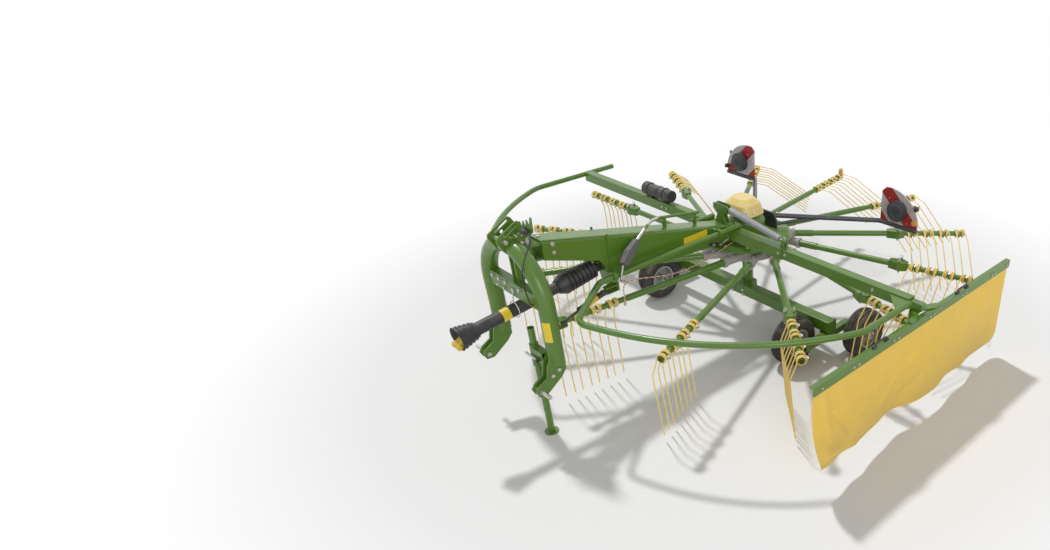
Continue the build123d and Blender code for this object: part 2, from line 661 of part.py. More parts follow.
with BuildPart() as spring_mast:
    for plate_y in (BEAM_Y - MAST_GAP / 2, BEAM_Y + MAST_GAP / 2 + MAST_PLATE):
        mast_foot = boom_top(BEAM_Y - MAST_GAP / 2 - MAST_PLATE) + SEAT_GAP
        plate(
            Plane(origin=at(0, plate_y, 0), x_dir=(1, 0, 0), z_dir=(0, -1, 0)),
            [
                (-60, mast_foot),
                (60, mast_foot),
                (34, mast_foot + 66),
                (MAST_HALF_WIDTH, SPRING_EYE[1] - 20),
                (MAST_HALF_WIDTH, MAST_TOP - 10),
                (MAST_HALF_WIDTH - 20, MAST_TOP),
                (20 - MAST_HALF_WIDTH, MAST_TOP),
                (-MAST_HALF_WIDTH, MAST_TOP - 10),
                (-MAST_HALF_WIDTH, SPRING_EYE[1] - 20),
                (-34, mast_foot + 66),
            ],
            MAST_PLATE,
        )
    for side in (1, -1):
        pin_end = MAST_GAP / 2 + MAST_PLATE + 6
        pin_x = side * SPRING_EYE[0]
        bar(at(pin_x, BEAM_Y - pin_end, SPRING_EYE[1]), at(pin_x, BEAM_Y + pin_end, SPRING_EYE[1]), 7)
    with BuildSketch(GROUND.offset(mast_foot)):
        with Locations((0, BEAM_Y)):
            Rectangle(68, MAST_GAP + 2)
    extrude(amount=40)

spring_mast.part.label = "spring_mast"
export_step(spring_mast.part, "parts/spring_mast.step")

COIL_SPRING_OD = 46.0
SPRING_EYE_OD = 30.0
SPRING_EYE_WIDTH = 12.0
spring_start = at(SPRING_EYE[0], BEAM_Y, SPRING_EYE[1])
spring_end = at(SPRING_LUG[0], BEAM_Y, SPRING_LUG[1])
spring_run = (spring_end - spring_start).normalized()

with BuildPart() as lift_spring:
    bar(spring_start + spring_run * 44, spring_end - spring_run * 62, COIL_SPRING_OD / 2)
    bar(spring_start + spring_run * 10, spring_start + spring_run * 46, 5)
    bar(spring_end - spring_run * 64, spring_end - spring_run * 10, 5)
    for eye in (spring_start, spring_end):
        with BuildSketch(Plane(origin=eye - Vector(0, SPRING_EYE_WIDTH / 2, 0), z_dir=(0, 1, 0))):
            Circle(SPRING_EYE_OD / 2)
        extrude(amount=SPRING_EYE_WIDTH)
    for eye in (spring_start, spring_end):
        with BuildSketch(Plane(origin=eye - Vector(0, SPRING_EYE_WIDTH, 0), z_dir=(0, 1, 0))):
            Circle(SPRING_PIN_OD / 2 + RUNNING_FIT)
        extrude(amount=2 * SPRING_EYE_WIDTH, mode=Mode.SUBTRACT)

lift_spring.part.label = "lift_spring"
export_step(lift_spring.part, "parts/lift_spring.step")

# -------------------------------------------------------------- the headstock
ARCH = Plane(origin=at(0, ARCH_Y, 0), x_dir=(1, 0, 0), z_dir=(0, -1, 0))
ARCH_WALL = 8.0
CHANNEL_BOTTOM = 985.0
CHANNEL_TOP = 1085.0
CHANNEL_FRONT_Y = -2095.0
CHANNEL_REAR_Y = -2035.0
GUSSET_X = 24.0
GUSSET_THICKNESS = 12.0
THRUST_GAP = 1.0  # between the swivel's boss and each fork plate
BOSS_BOTTOM = FORK_BOTTOM_Z + FORK_PLATE / 2 + THRUST_GAP
BOSS_TOP = FORK_TOP_Z - FORK_PLATE / 2 - THRUST_GAP
DAMPER_FRONT = (340.0, -1975.0, 882.0)
DAMPER_REAR = (100.0, -1480.0, 825.0)
DAMPER_PIN_OD = 16.0
DAMPER_FORK_GAP = 44.0
DAMPER_FORK_PLATE = 10.0
LUG_RADIUS = 22.0


def damper_fork(place: tuple, root: list, gap: float) -> None:
    """Two plates and a pin for one end of the damper, in the piece being built."""
    left, rearward, up = place
    for bottom in (up + gap / 2, up - gap / 2 - DAMPER_FORK_PLATE):
        with BuildSketch(GROUND.offset(bottom)) as lug:
            with BuildLine():
                Polyline(*root, (left + LUG_RADIUS, rearward), (left - LUG_RADIUS, rearward), close=True)
            make_face()
            with Locations((left, rearward)):
                Circle(LUG_RADIUS)
        extrude(lug.sketch, amount=DAMPER_FORK_PLATE)
    reach = gap / 2 + DAMPER_FORK_PLATE + 5
    bar(at(left, rearward, up - reach), at(left, rearward, up + reach), DAMPER_PIN_OD / 2)


with BuildPart() as headstock_arch:
    with BuildLine(ARCH) as arch_line:
        Line((-ARCH_HALF_WIDTH, ARCH_BOTTOM), (-ARCH_HALF_WIDTH, ARCH_SPRING_Z))
        ThreePointArc(
            (-ARCH_HALF_WIDTH, ARCH_SPRING_Z),
            (0, ARCH_SPRING_Z + ARCH_HALF_WIDTH),
            (ARCH_HALF_WIDTH, ARCH_SPRING_Z),
        )
        Line((ARCH_HALF_WIDTH, ARCH_SPRING_Z), (ARCH_HALF_WIDTH, ARCH_BOTTOM))
    # the cross channel, open to the rear
    with BuildSketch(SIDE):
        with Locations(((CHANNEL_FRONT_Y + CHANNEL_REAR_Y) / 2, (CHANNEL_TOP + CHANNEL_BOTTOM) / 2)):
            Rectangle(CHANNEL_REAR_Y - CHANNEL_FRONT_Y, CHANNEL_TOP - CHANNEL_BOTTOM)
        with Locations(((CHANNEL_FRONT_Y + CHANNEL_REAR_Y) / 2 + 8, (CHANNEL_TOP + CHANNEL_BOTTOM) / 2)):
            Rectangle(
                CHANNEL_REAR_Y - CHANNEL_FRONT_Y, CHANNEL_TOP - CHANNEL_BOTTOM - 16, mode=Mode.SUBTRACT
            )
    extrude(amount=ARCH_HALF_WIDTH - 20, both=True)
    # the gussets that carry the swivel's boss
    for side in (1, -1):
        plate(
            SIDE.offset(side * GUSSET_X - GUSSET_THICKNESS / 2),
            [
                (SWIVEL_Y - 30, BOSS_BOTTOM),
                (SWIVEL_Y - 30, BOSS_TOP),
                (SWIVEL_Y - 66, BOSS_TOP),
                (ARCH_Y + 30, BOSS_TOP + 22),
                (ARCH_Y, BOSS_TOP + 22),
                (ARCH_Y, CHANNEL_BOTTOM + 2),
                (CHANNEL_REAR_Y, CHANNEL_BOTTOM + 2),
                (SWIVEL_Y - 66, BOSS_BOTTOM - 90),
                (SWIVEL_Y - 66, BOSS_BOTTOM),
            ],
            GUSSET_THICKNESS,
        )
    bent_tube(arch_line.line, ARCH_TUBE_OD / 2)
    bent_tube(arch_line.line, ARCH_TUBE_OD / 2 - ARCH_WALL, mode=Mode.SUBTRACT)
    bar(at(0, SWIVEL_Y, BOSS_BOTTOM), at(0, SWIVEL_Y, BOSS_TOP), SWIVEL_BOSS_OD / 2)
    bar(
        at(0, SWIVEL_Y, BOSS_BOTTOM), at(0, SWIVEL_Y, BOSS_TOP), SWIVEL_PIN_OD / 2 + RUNNING_FIT,
        mode=Mode.SUBTRACT,
    )
    leg_back = ARCH_Y + ARCH_TUBE_OD / 2 - 6
    damper_fork(
        DAMPER_FRONT,
        [(DAMPER_FRONT[0] - 40, leg_back), (DAMPER_FRONT[0] + 20, leg_back)],
        DAMPER_FORK_GAP,
    )

headstock_arch.part.label = "headstock_arch"
export_step(headstock_arch.part, "parts/headstock_arch.step")

PIN_CAP = (  # the pin's head, up from the fork's top plate: bottom, top, radius
    (FORK_PLATE / 2 + THRUST_GAP, 30.0, 32.0),
    (30.0, 62.0, 24.0),
    (62.0, 74.0, 40.0),
    (74.0, 92.0, 26.0),
)

with BuildPart() as swivel_pin:
    bar(at(0, SWIVEL_Y, FORK_BOTTOM_Z - 30), at(0, SWIVEL_Y, FORK_TOP_Z + 14), SWIVEL_PIN_OD / 2)
    for cap_bottom, cap_top, cap_r in PIN_CAP:
        bar(at(0, SWIVEL_Y, FORK_TOP_Z + cap_bottom), at(0, SWIVEL_Y, FORK_TOP_Z + cap_top), cap_r)
    fillet(swivel_pin.edges().group_by(Axis.Z)[-1], 5)

swivel_pin.part.label = "swivel_pin"
export_step(swivel_pin.part, "parts/swivel_pin.step")

# plates for the tractor's top link, on the arch's crown
TOP_PLATE_X = 52.0
TOP_PLATE_THICKNESS = 12.0
TOP_PLATE_CENTRE = (-2055.0, 1390.0)  # rearward, up
TOP_PLATE_SIZE = (190.0, 132.0)
TOP_PLATE_TILT = 28.0
TOP_LINK_PIN = (-2118.0, 1386.0)
TOP_LINK_PIN_OD = 25.0
TOP_LINK_PIN_LENGTH = 150.0
TOP_LINK_HOLE = (-2065.0, 1404.0)
TOP_LINK_HOLE_OD = 25.5

with BuildPart() as top_link_bracket:
    for side in (1, -1):
        with BuildSketch(SIDE.offset(side * TOP_PLATE_X - TOP_PLATE_THICKNESS / 2)):
            with Locations(Location((*TOP_PLATE_CENTRE, 0), TOP_PLATE_TILT)):
                RectangleRounded(*TOP_PLATE_SIZE, 26)
                with Locations((14, 46)):
                    SlotOverall(112, 17, mode=Mode.SUBTRACT)
                with Locations((50, -4)):
                    SlotOverall(56, 18, mode=Mode.SUBTRACT)
            with Locations((ARCH_Y, 1350)):
                Rectangle(60, 70)
            with Locations(TOP_LINK_PIN):
                Circle(TOP_LINK_PIN_OD / 2 + RUNNING_FIT, mode=Mode.SUBTRACT)
            with Locations(TOP_LINK_HOLE):
                Circle(TOP_LINK_HOLE_OD / 2, mode=Mode.SUBTRACT)
        extrude(amount=TOP_PLATE_THICKNESS)
    bent_tube(arch_line.line, ARCH_TUBE_OD / 2 + SEAT_GAP, mode=Mode.SUBTRACT)

top_link_bracket.part.label = "top_link_bracket"
export_step(top_link_bracket.part, "parts/top_link_bracket.step")

with BuildPart() as top_link_pin:
    pin_left = TOP_PLATE_X + TOP_PLATE_THICKNESS / 2 + 32
    bar(
        at(pin_left - TOP_LINK_PIN_LENGTH, *TOP_LINK_PIN), at(pin_left, *TOP_LINK_PIN),
        TOP_LINK_PIN_OD / 2,
    )

top_link_pin.part.label = "top_link_pin"
export_step(top_link_pin.part, "parts/top_link_pin.step")

# plates and pins for the tractor's lower links, on the legs' feet
LINK_PLATE_THICKNESS = 12.0
LINK_PLATE_GAP = 40.0
LINK_PLATE_OUTLINE = [
    (-2026, 705),
    (-2026, 566),
    (-2062, 524),
    (-2186, 440),
    (-2240, 444),
    (-2258, 486),
    (-2232, 520),
    (-2168, 556),
    (-2150, 640),
    (-2112, 705),
]

with BuildPart() as lower_link_plates:
    for side in (1, -1):
        for plate_offset in (-1, 1):
            plate_x = side * ARCH_HALF_WIDTH + plate_offset * (LINK_PLATE_GAP + LINK_PLATE_THICKNESS) / 2
            plate(
                SIDE.offset(plate_x - LINK_PLATE_THICKNESS / 2), LINK_PLATE_OUTLINE, LINK_PLATE_THICKNESS
            )
        bar(
            at(side * (ARCH_HALF_WIDTH - 60), LINK_PIN_Y, LINK_PIN_Z),
            at(side * (ARCH_HALF_WIDTH + 60), LINK_PIN_Y, LINK_PIN_Z),
            LINK_SHANK_OD / 2 + RUNNING_FIT,
            mode=Mode.SUBTRACT,
        )
    for side in (1, -1):
        leg_x = side * ARCH_HALF_WIDTH
        bar(
            at(leg_x, ARCH_Y, ARCH_BOTTOM - SEAT_GAP), at(leg_x, ARCH_Y, 760),
            ARCH_TUBE_OD / 2 + SEAT_GAP, mode=Mode.SUBTRACT,
        )
        # the web that ties each pair of plates under the leg's foot
        with BuildSketch(GROUND.offset(ARCH_BOTTOM - 14)):
            with Locations((leg_x, ARCH_Y - 6)):
                Rectangle(LINK_PLATE_GAP + 2, 66)
        extrude(amount=10)

lower_link_plates.part.label = "lower_link_plates"
export_step(lower_link_plates.part, "parts/lower_link_plates.step")

LINK_PIN_END = ARCH_HALF_WIDTH + LINK_PLATE_GAP / 2 + LINK_PLATE_THICKNESS
LINK_PIN_START = ARCH_HALF_WIDTH - LINK_PLATE_GAP / 2 - LINK_PLATE_THICKNESS - 8
with BuildPart() as lower_link_pins:
    for side in (1, -1):
        bar(
            at(side * LINK_PIN_START, LINK_PIN_Y, LINK_PIN_Z),
            at(side * (LINK_PIN_END + LINK_SHOULDER), LINK_PIN_Y, LINK_PIN_Z),
            LINK_SHANK_OD / 2,
        )
        bar(
            at(side * (LINK_PIN_END + LINK_SHOULDER), LINK_PIN_Y, LINK_PIN_Z),
            at(side * (LINK_PIN_END + LINK_SHOULDER + LINK_PIN_LENGTH), LINK_PIN_Y, LINK_PIN_Z),
            LINK_PIN_OD / 2,
        )

lower_link_pins.part.label = "lower_link_pins"
export_step(lower_link_pins.part, "parts/lower_link_pins.step")

# comb for the tractor's hoses and cables
HOSE_RACK_Y = -2022.0
HOSE_RACK_THICKNESS = 8.0
with BuildPart() as hose_rack:
    plate(
        Plane(origin=at(0, HOSE_RACK_Y, 0), x_dir=(1, 0, 0), z_dir=(0, -1, 0)),
        [
            (TOP_PLATE_X + TOP_PLATE_THICKNESS / 2 + SEAT_GAP, 1396),
            (TOP_PLATE_X + TOP_PLATE_THICKNESS / 2 + SEAT_GAP, 1440),
            (112, 1474),
            (126, 1508),
            (138, 1482),
            (156, 1490),
            (168, 1524),
            (180, 1498),
            (198, 1506),
            (210, 1542),
            (224, 1516),
            (242, 1526),
            (258, 1570),
            (270, 1564),
            (264, 1478),
            (210, 1440),
            (130, 1400),
        ],
        HOSE_RACK_THICKNESS,
    )

hose_rack.part.label = "hose_rack"
export_step(hose_rack.part, "parts/hose_rack.step")

# the jack's sleeve on the left leg
JACK_OD = 44.5
JACK_SLEEVE_OD = 60.0
JACK_SLEEVE = (560.0, 720.0)
JACK_FOOT_OD = 96.0
JACK_TOP = 835.0

with BuildPart() as jack_sleeve:
    bar(at(JACK_X, JACK_Y, JACK_SLEEVE[0]), at(JACK_X, JACK_Y, JACK_SLEEVE[1]), JACK_SLEEVE_OD / 2)
    bracket_end = ARCH_HALF_WIDTH - LINK_PLATE_GAP / 2 - LINK_PLATE_THICKNESS - SEAT_GAP
    with BuildSketch(SIDE.offset(JACK_X)):
        with Locations((JACK_Y, 660)):
            Rectangle(54, 86)
            Rectangle(42, 74, mode=Mode.SUBTRACT)
    extrude(amount=bracket_end - JACK_X)
    bar(
        at(ARCH_HALF_WIDTH, ARCH_Y, JACK_SLEEVE[0]), at(ARCH_HALF_WIDTH, ARCH_Y, JACK_SLEEVE[1]),
        ARCH_TUBE_OD / 2 + SEAT_GAP, mode=Mode.SUBTRACT,
    )
    bar(
        at(JACK_X, JACK_Y, JACK_SLEEVE[0] - 10), at(JACK_X, JACK_Y, JACK_SLEEVE[1] + 10),
        JACK_OD / 2 + RUNNING_FIT, mode=Mode.SUBTRACT,
    )

jack_sleeve.part.label = "jack_sleeve"
export_step(jack_sleeve.part, "parts/jack_sleeve.step")

with BuildPart() as jack_leg:
    bar(at(JACK_X, JACK_Y, 0), at(JACK_X, JACK_Y, 8), JACK_FOOT_OD / 2)
    bar(at(JACK_X, JACK_Y, 8), at(JACK_X, JACK_Y, JACK_TOP), JACK_OD / 2)
    bar(at(JACK_X, JACK_Y, 30), at(JACK_X, JACK_Y, JACK_TOP), JACK_OD / 2 - 4, mode=Mode.SUBTRACT)

jack_leg.part.label = "jack_leg"
export_step(jack_leg.part, "parts/jack_leg.step")

# ------------------------------------------------- drive shaft and its bearing
SHAFT_PIVOT_Y = -1457.0
HANGER_Y = -2110.0
shaft_slope = (SHAFT_REAR[1] - SHAFT_FRONT[1]) / (SHAFT_REAR[0] - SHAFT_FRONT[0])


def shaft_height(rearward: float) -> float:
    """Height of the drive shaft's axis at a place along the machine."""
    return SHAFT_REAR[1] + (rearward - SHAFT_REAR[0]) * shaft_slope


SHAFT_PIVOT = at(0, SHAFT_PIVOT_Y, shaft_height(SHAFT_PIVOT_Y))
SHAFT_FORWARD = Vector(0, -1, -shaft_slope).normalized()
SHAFT_SECTION = Plane(origin=SHAFT_PIVOT, x_dir=SHAFT_FORWARD, z_dir=(1, 0, 0))  # (forward, down)
SHAFT_AXIS = Axis(SHAFT_PIVOT, SHAFT_FORWARD)
BEARING_Y = -1400.0
CROSS_PIN_OD = 20.0

with BuildPart() as shaft_bearing:
    bearing_face = Plane(origin=at(0, BEARING_Y, 0), x_dir=(1, 0, 0), z_dir=(0, -1, 0))
    inside = BOOM_HALF_WIDTH - BOOM_WALL - SEAT_GAP
    plate(
        bearing_face,
        [(-inside, 872), (-inside, 1034), (inside, 1034), (inside, 872), (122, 860), (122, 800), (-50, 800)],
        -14,
    )
    bar(at(0, BEARING_Y + 14, SHAFT_REAR[1]), at(0, BEARING_Y - 30, SHAFT_REAR[1]), 50)
    for fork_z in (SHAFT_PIVOT.Z - 36, SHAFT_PIVOT.Z + 26):
        with BuildSketch(GROUND.offset(fork_z)):
            with Locations((0, (BEARING_Y + SHAFT_PIVOT_Y) / 2)):
                Rectangle(36, BEARING_Y - SHAFT_PIVOT_Y)
            with Locations((0, SHAFT_PIVOT_Y)):
                Circle(18)
        extrude(amount=10)
    bar(SHAFT_PIVOT - Vector(0, 0, 36), SHAFT_PIVOT + Vector(0, 0, 36), CROSS_PIN_OD / 2)
    damper_fork(DAMPER_REAR, [(60, BEARING_Y + 6), (122, BEARING_Y + 6)], 30)

shaft_bearing.part.label = "shaft_bearing"
export_step(shaft_bearing.part, "parts/shaft_bearing.step")

TUBE_SPLIT = 550.0  # from the pivot to where the outer guard tube begins
TUBE_END = 960.0
INNER_GUARD_OD = 76.0
BELLOWS_END = 288.0

with BuildPart() as shaft_tube:
    with BuildSketch(SHAFT_SECTION):
        with BuildLine():
            Polyline(
                (40, 0),
                (40, INNER_GUARD_OD / 2),
                (TUBE_SPLIT, INNER_GUARD_OD / 2),
                (TUBE_SPLIT + 4, SHAFT_GUARD_OD / 2),
                (TUBE_END, SHAFT_GUARD_OD / 2),
                (TUBE_END, 0),
                close=True,
            )
        make_face()
    revolve(axis=SHAFT_AXIS)
    # the rear yoke's eye, on the cross pin
    bar(SHAFT_PIVOT, SHAFT_PIVOT + SHAFT_FORWARD * 42, 18)
    bar(SHAFT_PIVOT - Vector(0, 0, 20), SHAFT_PIVOT + Vector(0, 0, 20), 22)
    bar(
        SHAFT_PIVOT - Vector(0, 0, 30), SHAFT_PIVOT + Vector(0, 0, 30), CROSS_PIN_OD / 2 + RUNNING_FIT,
        mode=Mode.SUBTRACT,
    )

shaft_tube.part.label = "shaft_tube"
export_step(shaft_tube.part, "parts/shaft_tube.step")

BELLOWS_RIBS = 8
BELLOWS_PITCH = 32.0
with BuildPart() as shaft_bellows:
    bellows_outline = [(BELLOWS_END + 50, INNER_GUARD_OD / 2 + SEAT_GAP), (BELLOWS_END + 50, 48)]
    for rib in range(BELLOWS_RIBS):
        rib_end = BELLOWS_END - rib * BELLOWS_PITCH
        rib_r = 72 - rib * 1.3
        bellows_outline += [
            (rib_end, rib_r),
            (rib_end - 0.5 * BELLOWS_PITCH, rib_r),
            (rib_end - 0.6 * BELLOWS_PITCH, rib_r - 10),
            (rib_end - 0.9 * BELLOWS_PITCH, rib_r - 10),
        ]
    last_end = BELLOWS_END - BELLOWS_RIBS * BELLOWS_PITCH
    bellows_outline += [(last_end, 61), (-14, 61), (-14, 54), (BELLOWS_END - 20, 54)]
    bellows_outline += [(BELLOWS_END, INNER_GUARD_OD / 2 + SEAT_GAP)]
    with BuildSketch(SHAFT_SECTION):
        with BuildLine():
            Polyline(*bellows_outline, close=True)
        make_face()
    revolve(axis=SHAFT_AXIS)

shaft_bellows.part.label = "shaft_bellows"
export_step(shaft_bellows.part, "parts/shaft_bellows.step")

CONE_RIBS = 4
CONE_START = 936.0
CONE_PITCH = 24.0
CONE_MOUTH_R = 80.0
with BuildPart() as shaft_cone:
    cone_outline = [(CONE_START, SHAFT_GUARD_OD / 2 + SEAT_GAP), (CONE_START, 52)]
    for rib in range(CONE_RIBS):
        rib_start = CONE_START + 14 + rib * CONE_PITCH
        rib_r = 58 + rib * 5
        cone_outline += [
            (rib_start, rib_r),
            (rib_start + 0.5 * CONE_PITCH, rib_r + 2),
            (rib_start + 0.6 * CONE_PITCH, rib_r - 5),
            (rib_start + 0.9 * CONE_PITCH, rib_r - 4),
        ]
    cone_end = CONE_START + 14 + CONE_RIBS * CONE_PITCH
    cone_outline += [(cone_end, CONE_MOUTH_R), (cone_end + 6, CONE_MOUTH_R), (cone_end + 6, CONE_MOUTH_R - 6)]
    cone_outline += [(CONE_START + 50, 62), (CONE_START + 26, 48)]
    cone_outline += [(TUBE_END, 48), (TUBE_END, SHAFT_GUARD_OD / 2 + SEAT_GAP)]
    with BuildSketch(SHAFT_SECTION):
        with BuildLine():
            Polyline(*cone_outline, close=True)
        make_face()
    revolve(axis=SHAFT_AXIS)

shaft_cone.part.label = "shaft_cone"
export_step(shaft_cone.part, "parts/shaft_cone.step")

YOKE_JOINT_AT = 985.0  # the cross joint inside the cone, from the pivot
YOKE_LENGTH = 118.0
YOKE_DROOP = 24.0  # the free yoke hangs down from its joint
YOKE_OD = 62.0
YOKE_COLLAR_OD = 76.0
PTO_BORE = 35.0
PTO_BORE_DEPTH = 78.0
yoke_joint = SHAFT_PIVOT + SHAFT_FORWARD * YOKE_JOINT_AT
yoke_run = SHAFT_FORWARD.rotate(Axis.X, YOKE_DROOP)
yoke_mouth = yoke_joint + yoke_run * YOKE_LENGTH
with BuildPart() as shaft_yoke:
    bar(SHAFT_PIVOT + SHAFT_FORWARD * TUBE_END, yoke_joint + SHAFT_FORWARD * 12, 22)
    bar(yoke_joint, yoke_mouth, YOKE_OD / 2)
    bar(yoke_mouth - yoke_run * 34, yoke_mouth - yoke_run * 8, YOKE_COLLAR_OD / 2)
    bar(yoke_mouth - yoke_run * PTO_BORE_DEPTH, yoke_mouth, PTO_BORE / 2, mode=Mode.SUBTRACT)

shaft_yoke.part.label = "shaft_yoke"
export_step(shaft_yoke.part, "parts/shaft_yoke.step")

HANGER_WIRE = 8.0
HANGER_RADIUS = 54.0
hanger_centre = at(0, HANGER_Y, shaft_height(HANGER_Y))
with BuildPart() as shaft_hanger:
    with BuildSketch(Plane(origin=hanger_centre, x_dir=(0, 0, 1), z_dir=(1, 0, 0))):
        with Locations((HANGER_RADIUS, 0)):
            Circle(HANGER_WIRE / 2)
    revolve(axis=Axis(hanger_centre, (0, 1, 0)))
    hook_foot = at(0, CHANNEL_FRONT_Y - SEAT_GAP - 4, 1030)
    bar(hanger_centre + Vector(0, 0, HANGER_RADIUS), hook_foot, HANGER_WIRE / 2)
    with BuildSketch(Plane(origin=at(0, CHANNEL_FRONT_Y - SEAT_GAP, 1030), z_dir=(0, -1, 0))):
        Rectangle(24, 34)
    extrude(amount=6)

shaft_hanger.part.label = "shaft_hanger"
export_step(shaft_hanger.part, "parts/shaft_hanger.step")

# ------------------------------------------------------------ steering damper
DAMPER_BARREL_OD = 42.0
DAMPER_ROD_OD = 20.0
damper_front = at(*DAMPER_FRONT)
damper_rear = at(*DAMPER_REAR)
damper_run = (damper_front - damper_rear).normalized()
EYE_SLACK = 4.0  # the rod's eye stands this much clear of its pin

with BuildPart() as damper_barrel:
    bar(damper_rear - Vector(0, 0, 12), damper_rear + Vector(0, 0, 12), 18)
    bar(damper_rear + damper_run * 8, damper_rear + damper_run * 46, 10)
    bar(damper_rear + damper_run * 44, damper_rear + damper_run * 356, DAMPER_BARREL_OD / 2)
    bar(
        damper_rear - Vector(0, 0, 20), damper_rear + Vector(0, 0, 20),
        DAMPER_PIN_OD / 2 + RUNNING_FIT, mode=Mode.SUBTRACT,
    )
    bar(
        damper_rear + damper_run * 100, damper_rear + damper_run * 360, DAMPER_ROD_OD / 2 + RUNNING_FIT,
        mode=Mode.SUBTRACT,
    )

damper_barrel.part.label = "damper_barrel"
export_step(damper_barrel.part, "parts/damper_barrel.step")

with BuildPart() as damper_rod:
    bar(damper_front - Vector(0, 0, 9), damper_front + Vector(0, 0, 9), 22)
    bar(damper_rear + damper_run * 200, damper_front - damper_run * 12, DAMPER_ROD_OD / 2)
    bar(
        damper_front - Vector(0, 0, 20), damper_front + Vector(0, 0, 20),
        DAMPER_PIN_OD / 2 + EYE_SLACK, mode=Mode.SUBTRACT,
    )

damper_rod.part.label = "damper_rod"
export_step(damper_rod.part, "parts/damper_rod.step")

# --------------------------------------------------------------------- guards
HOOP_CORNER_DEG = (17.4, 63.6)  # where the round front starts and ends, from straight ahead
HOOP_LEAD = 165.0
HINGE_TUBE_START_Y = -235.0
HINGE_TUBE_END_Y = -1560.0
LEFT_HOOP_END_Y = -330.0
RIGHT_HOOP_END_Y = 5.0


def hoop_route(side: int, end_y: float) -> list:
    """Corners of a guard hoop, from its hinge tube round the front to its end."""
    first, last = (radians(degree) for degree in HOOP_CORNER_DEG)
    half_turn = (last - first) / 4
    corner_r = GUARD_RADIUS / cos(half_turn)
    lead = (
        GUARD_RADIUS * sin(first) - HOOP_LEAD * cos(first),
        -GUARD_RADIUS * cos(first) - HOOP_LEAD * sin(first),
    )
    straight = GUARD_X - GUARD_RADIUS * sin(last)
    route = [
        (GUARD_HINGE_X, HINGE_TUBE_START_Y, GUARD_HINGE_Z),
        (GUARD_HINGE_X, HINGE_TUBE_END_Y, GUARD_HINGE_Z),
        (lead[0], lead[1], GUARD_Z),
    ]
    for turn in (first + half_turn, last - half_turn):
        route.append((corner_r * sin(turn), -corner_r * cos(turn), GUARD_Z))
    route.append((GUARD_X, -GUARD_RADIUS * cos(last) + straight * sin(last) / cos(last), GUARD_Z))
    route.append((GUARD_X, end_y, GUARD_Z))
    return [at(side * left, rearward, up) for left, rearward, up in route]


HOOP_BEND_RADII = [110, 110, 1970, 1970, 270]
BEAM_WALL = 5.0
INNER_BEAM = (80.0, 88.0)  # along the travel, up
OUTER_BEAM = (69.4, 77.4)
INNER_BEAM_X = (100.0, 667.0)
OUTER_BEAM_X = (590.0, 1788.0)
BEAM_Z = BEAM_TOP - INNER_BEAM[1] / 2
CARRIER_SIZE = 50.0

with BuildPart() as guard_hoop_left:
    with BuildLine() as left_route:
        FilletPolyline(*hoop_route(1, LEFT_HOOP_END_Y), radius=HOOP_BEND_RADII)
    bent_tube(left_route.line, GUARD_TUBE_OD / 2)
    # the gusset that ties the hoop's end to the beam
    beam_front = BEAM_Y - OUTER_BEAM[0] / 2 - SEAT_GAP
    plate(
        GROUND.offset(GUARD_Z - 4),
        [
            (OUTER_BEAM_X[1] - 150, beam_front),
            (OUTER_BEAM_X[1], beam_front),
            (GUARD_X, LEFT_HOOP_END_Y),
            (GUARD_X, LEFT_HOOP_END_Y - 150),
        ],
        8,
    )

guard_hoop_left.part.label = "guard_hoop_left"
export_step(guard_hoop_left.part, "parts/guard_hoop_left.step")

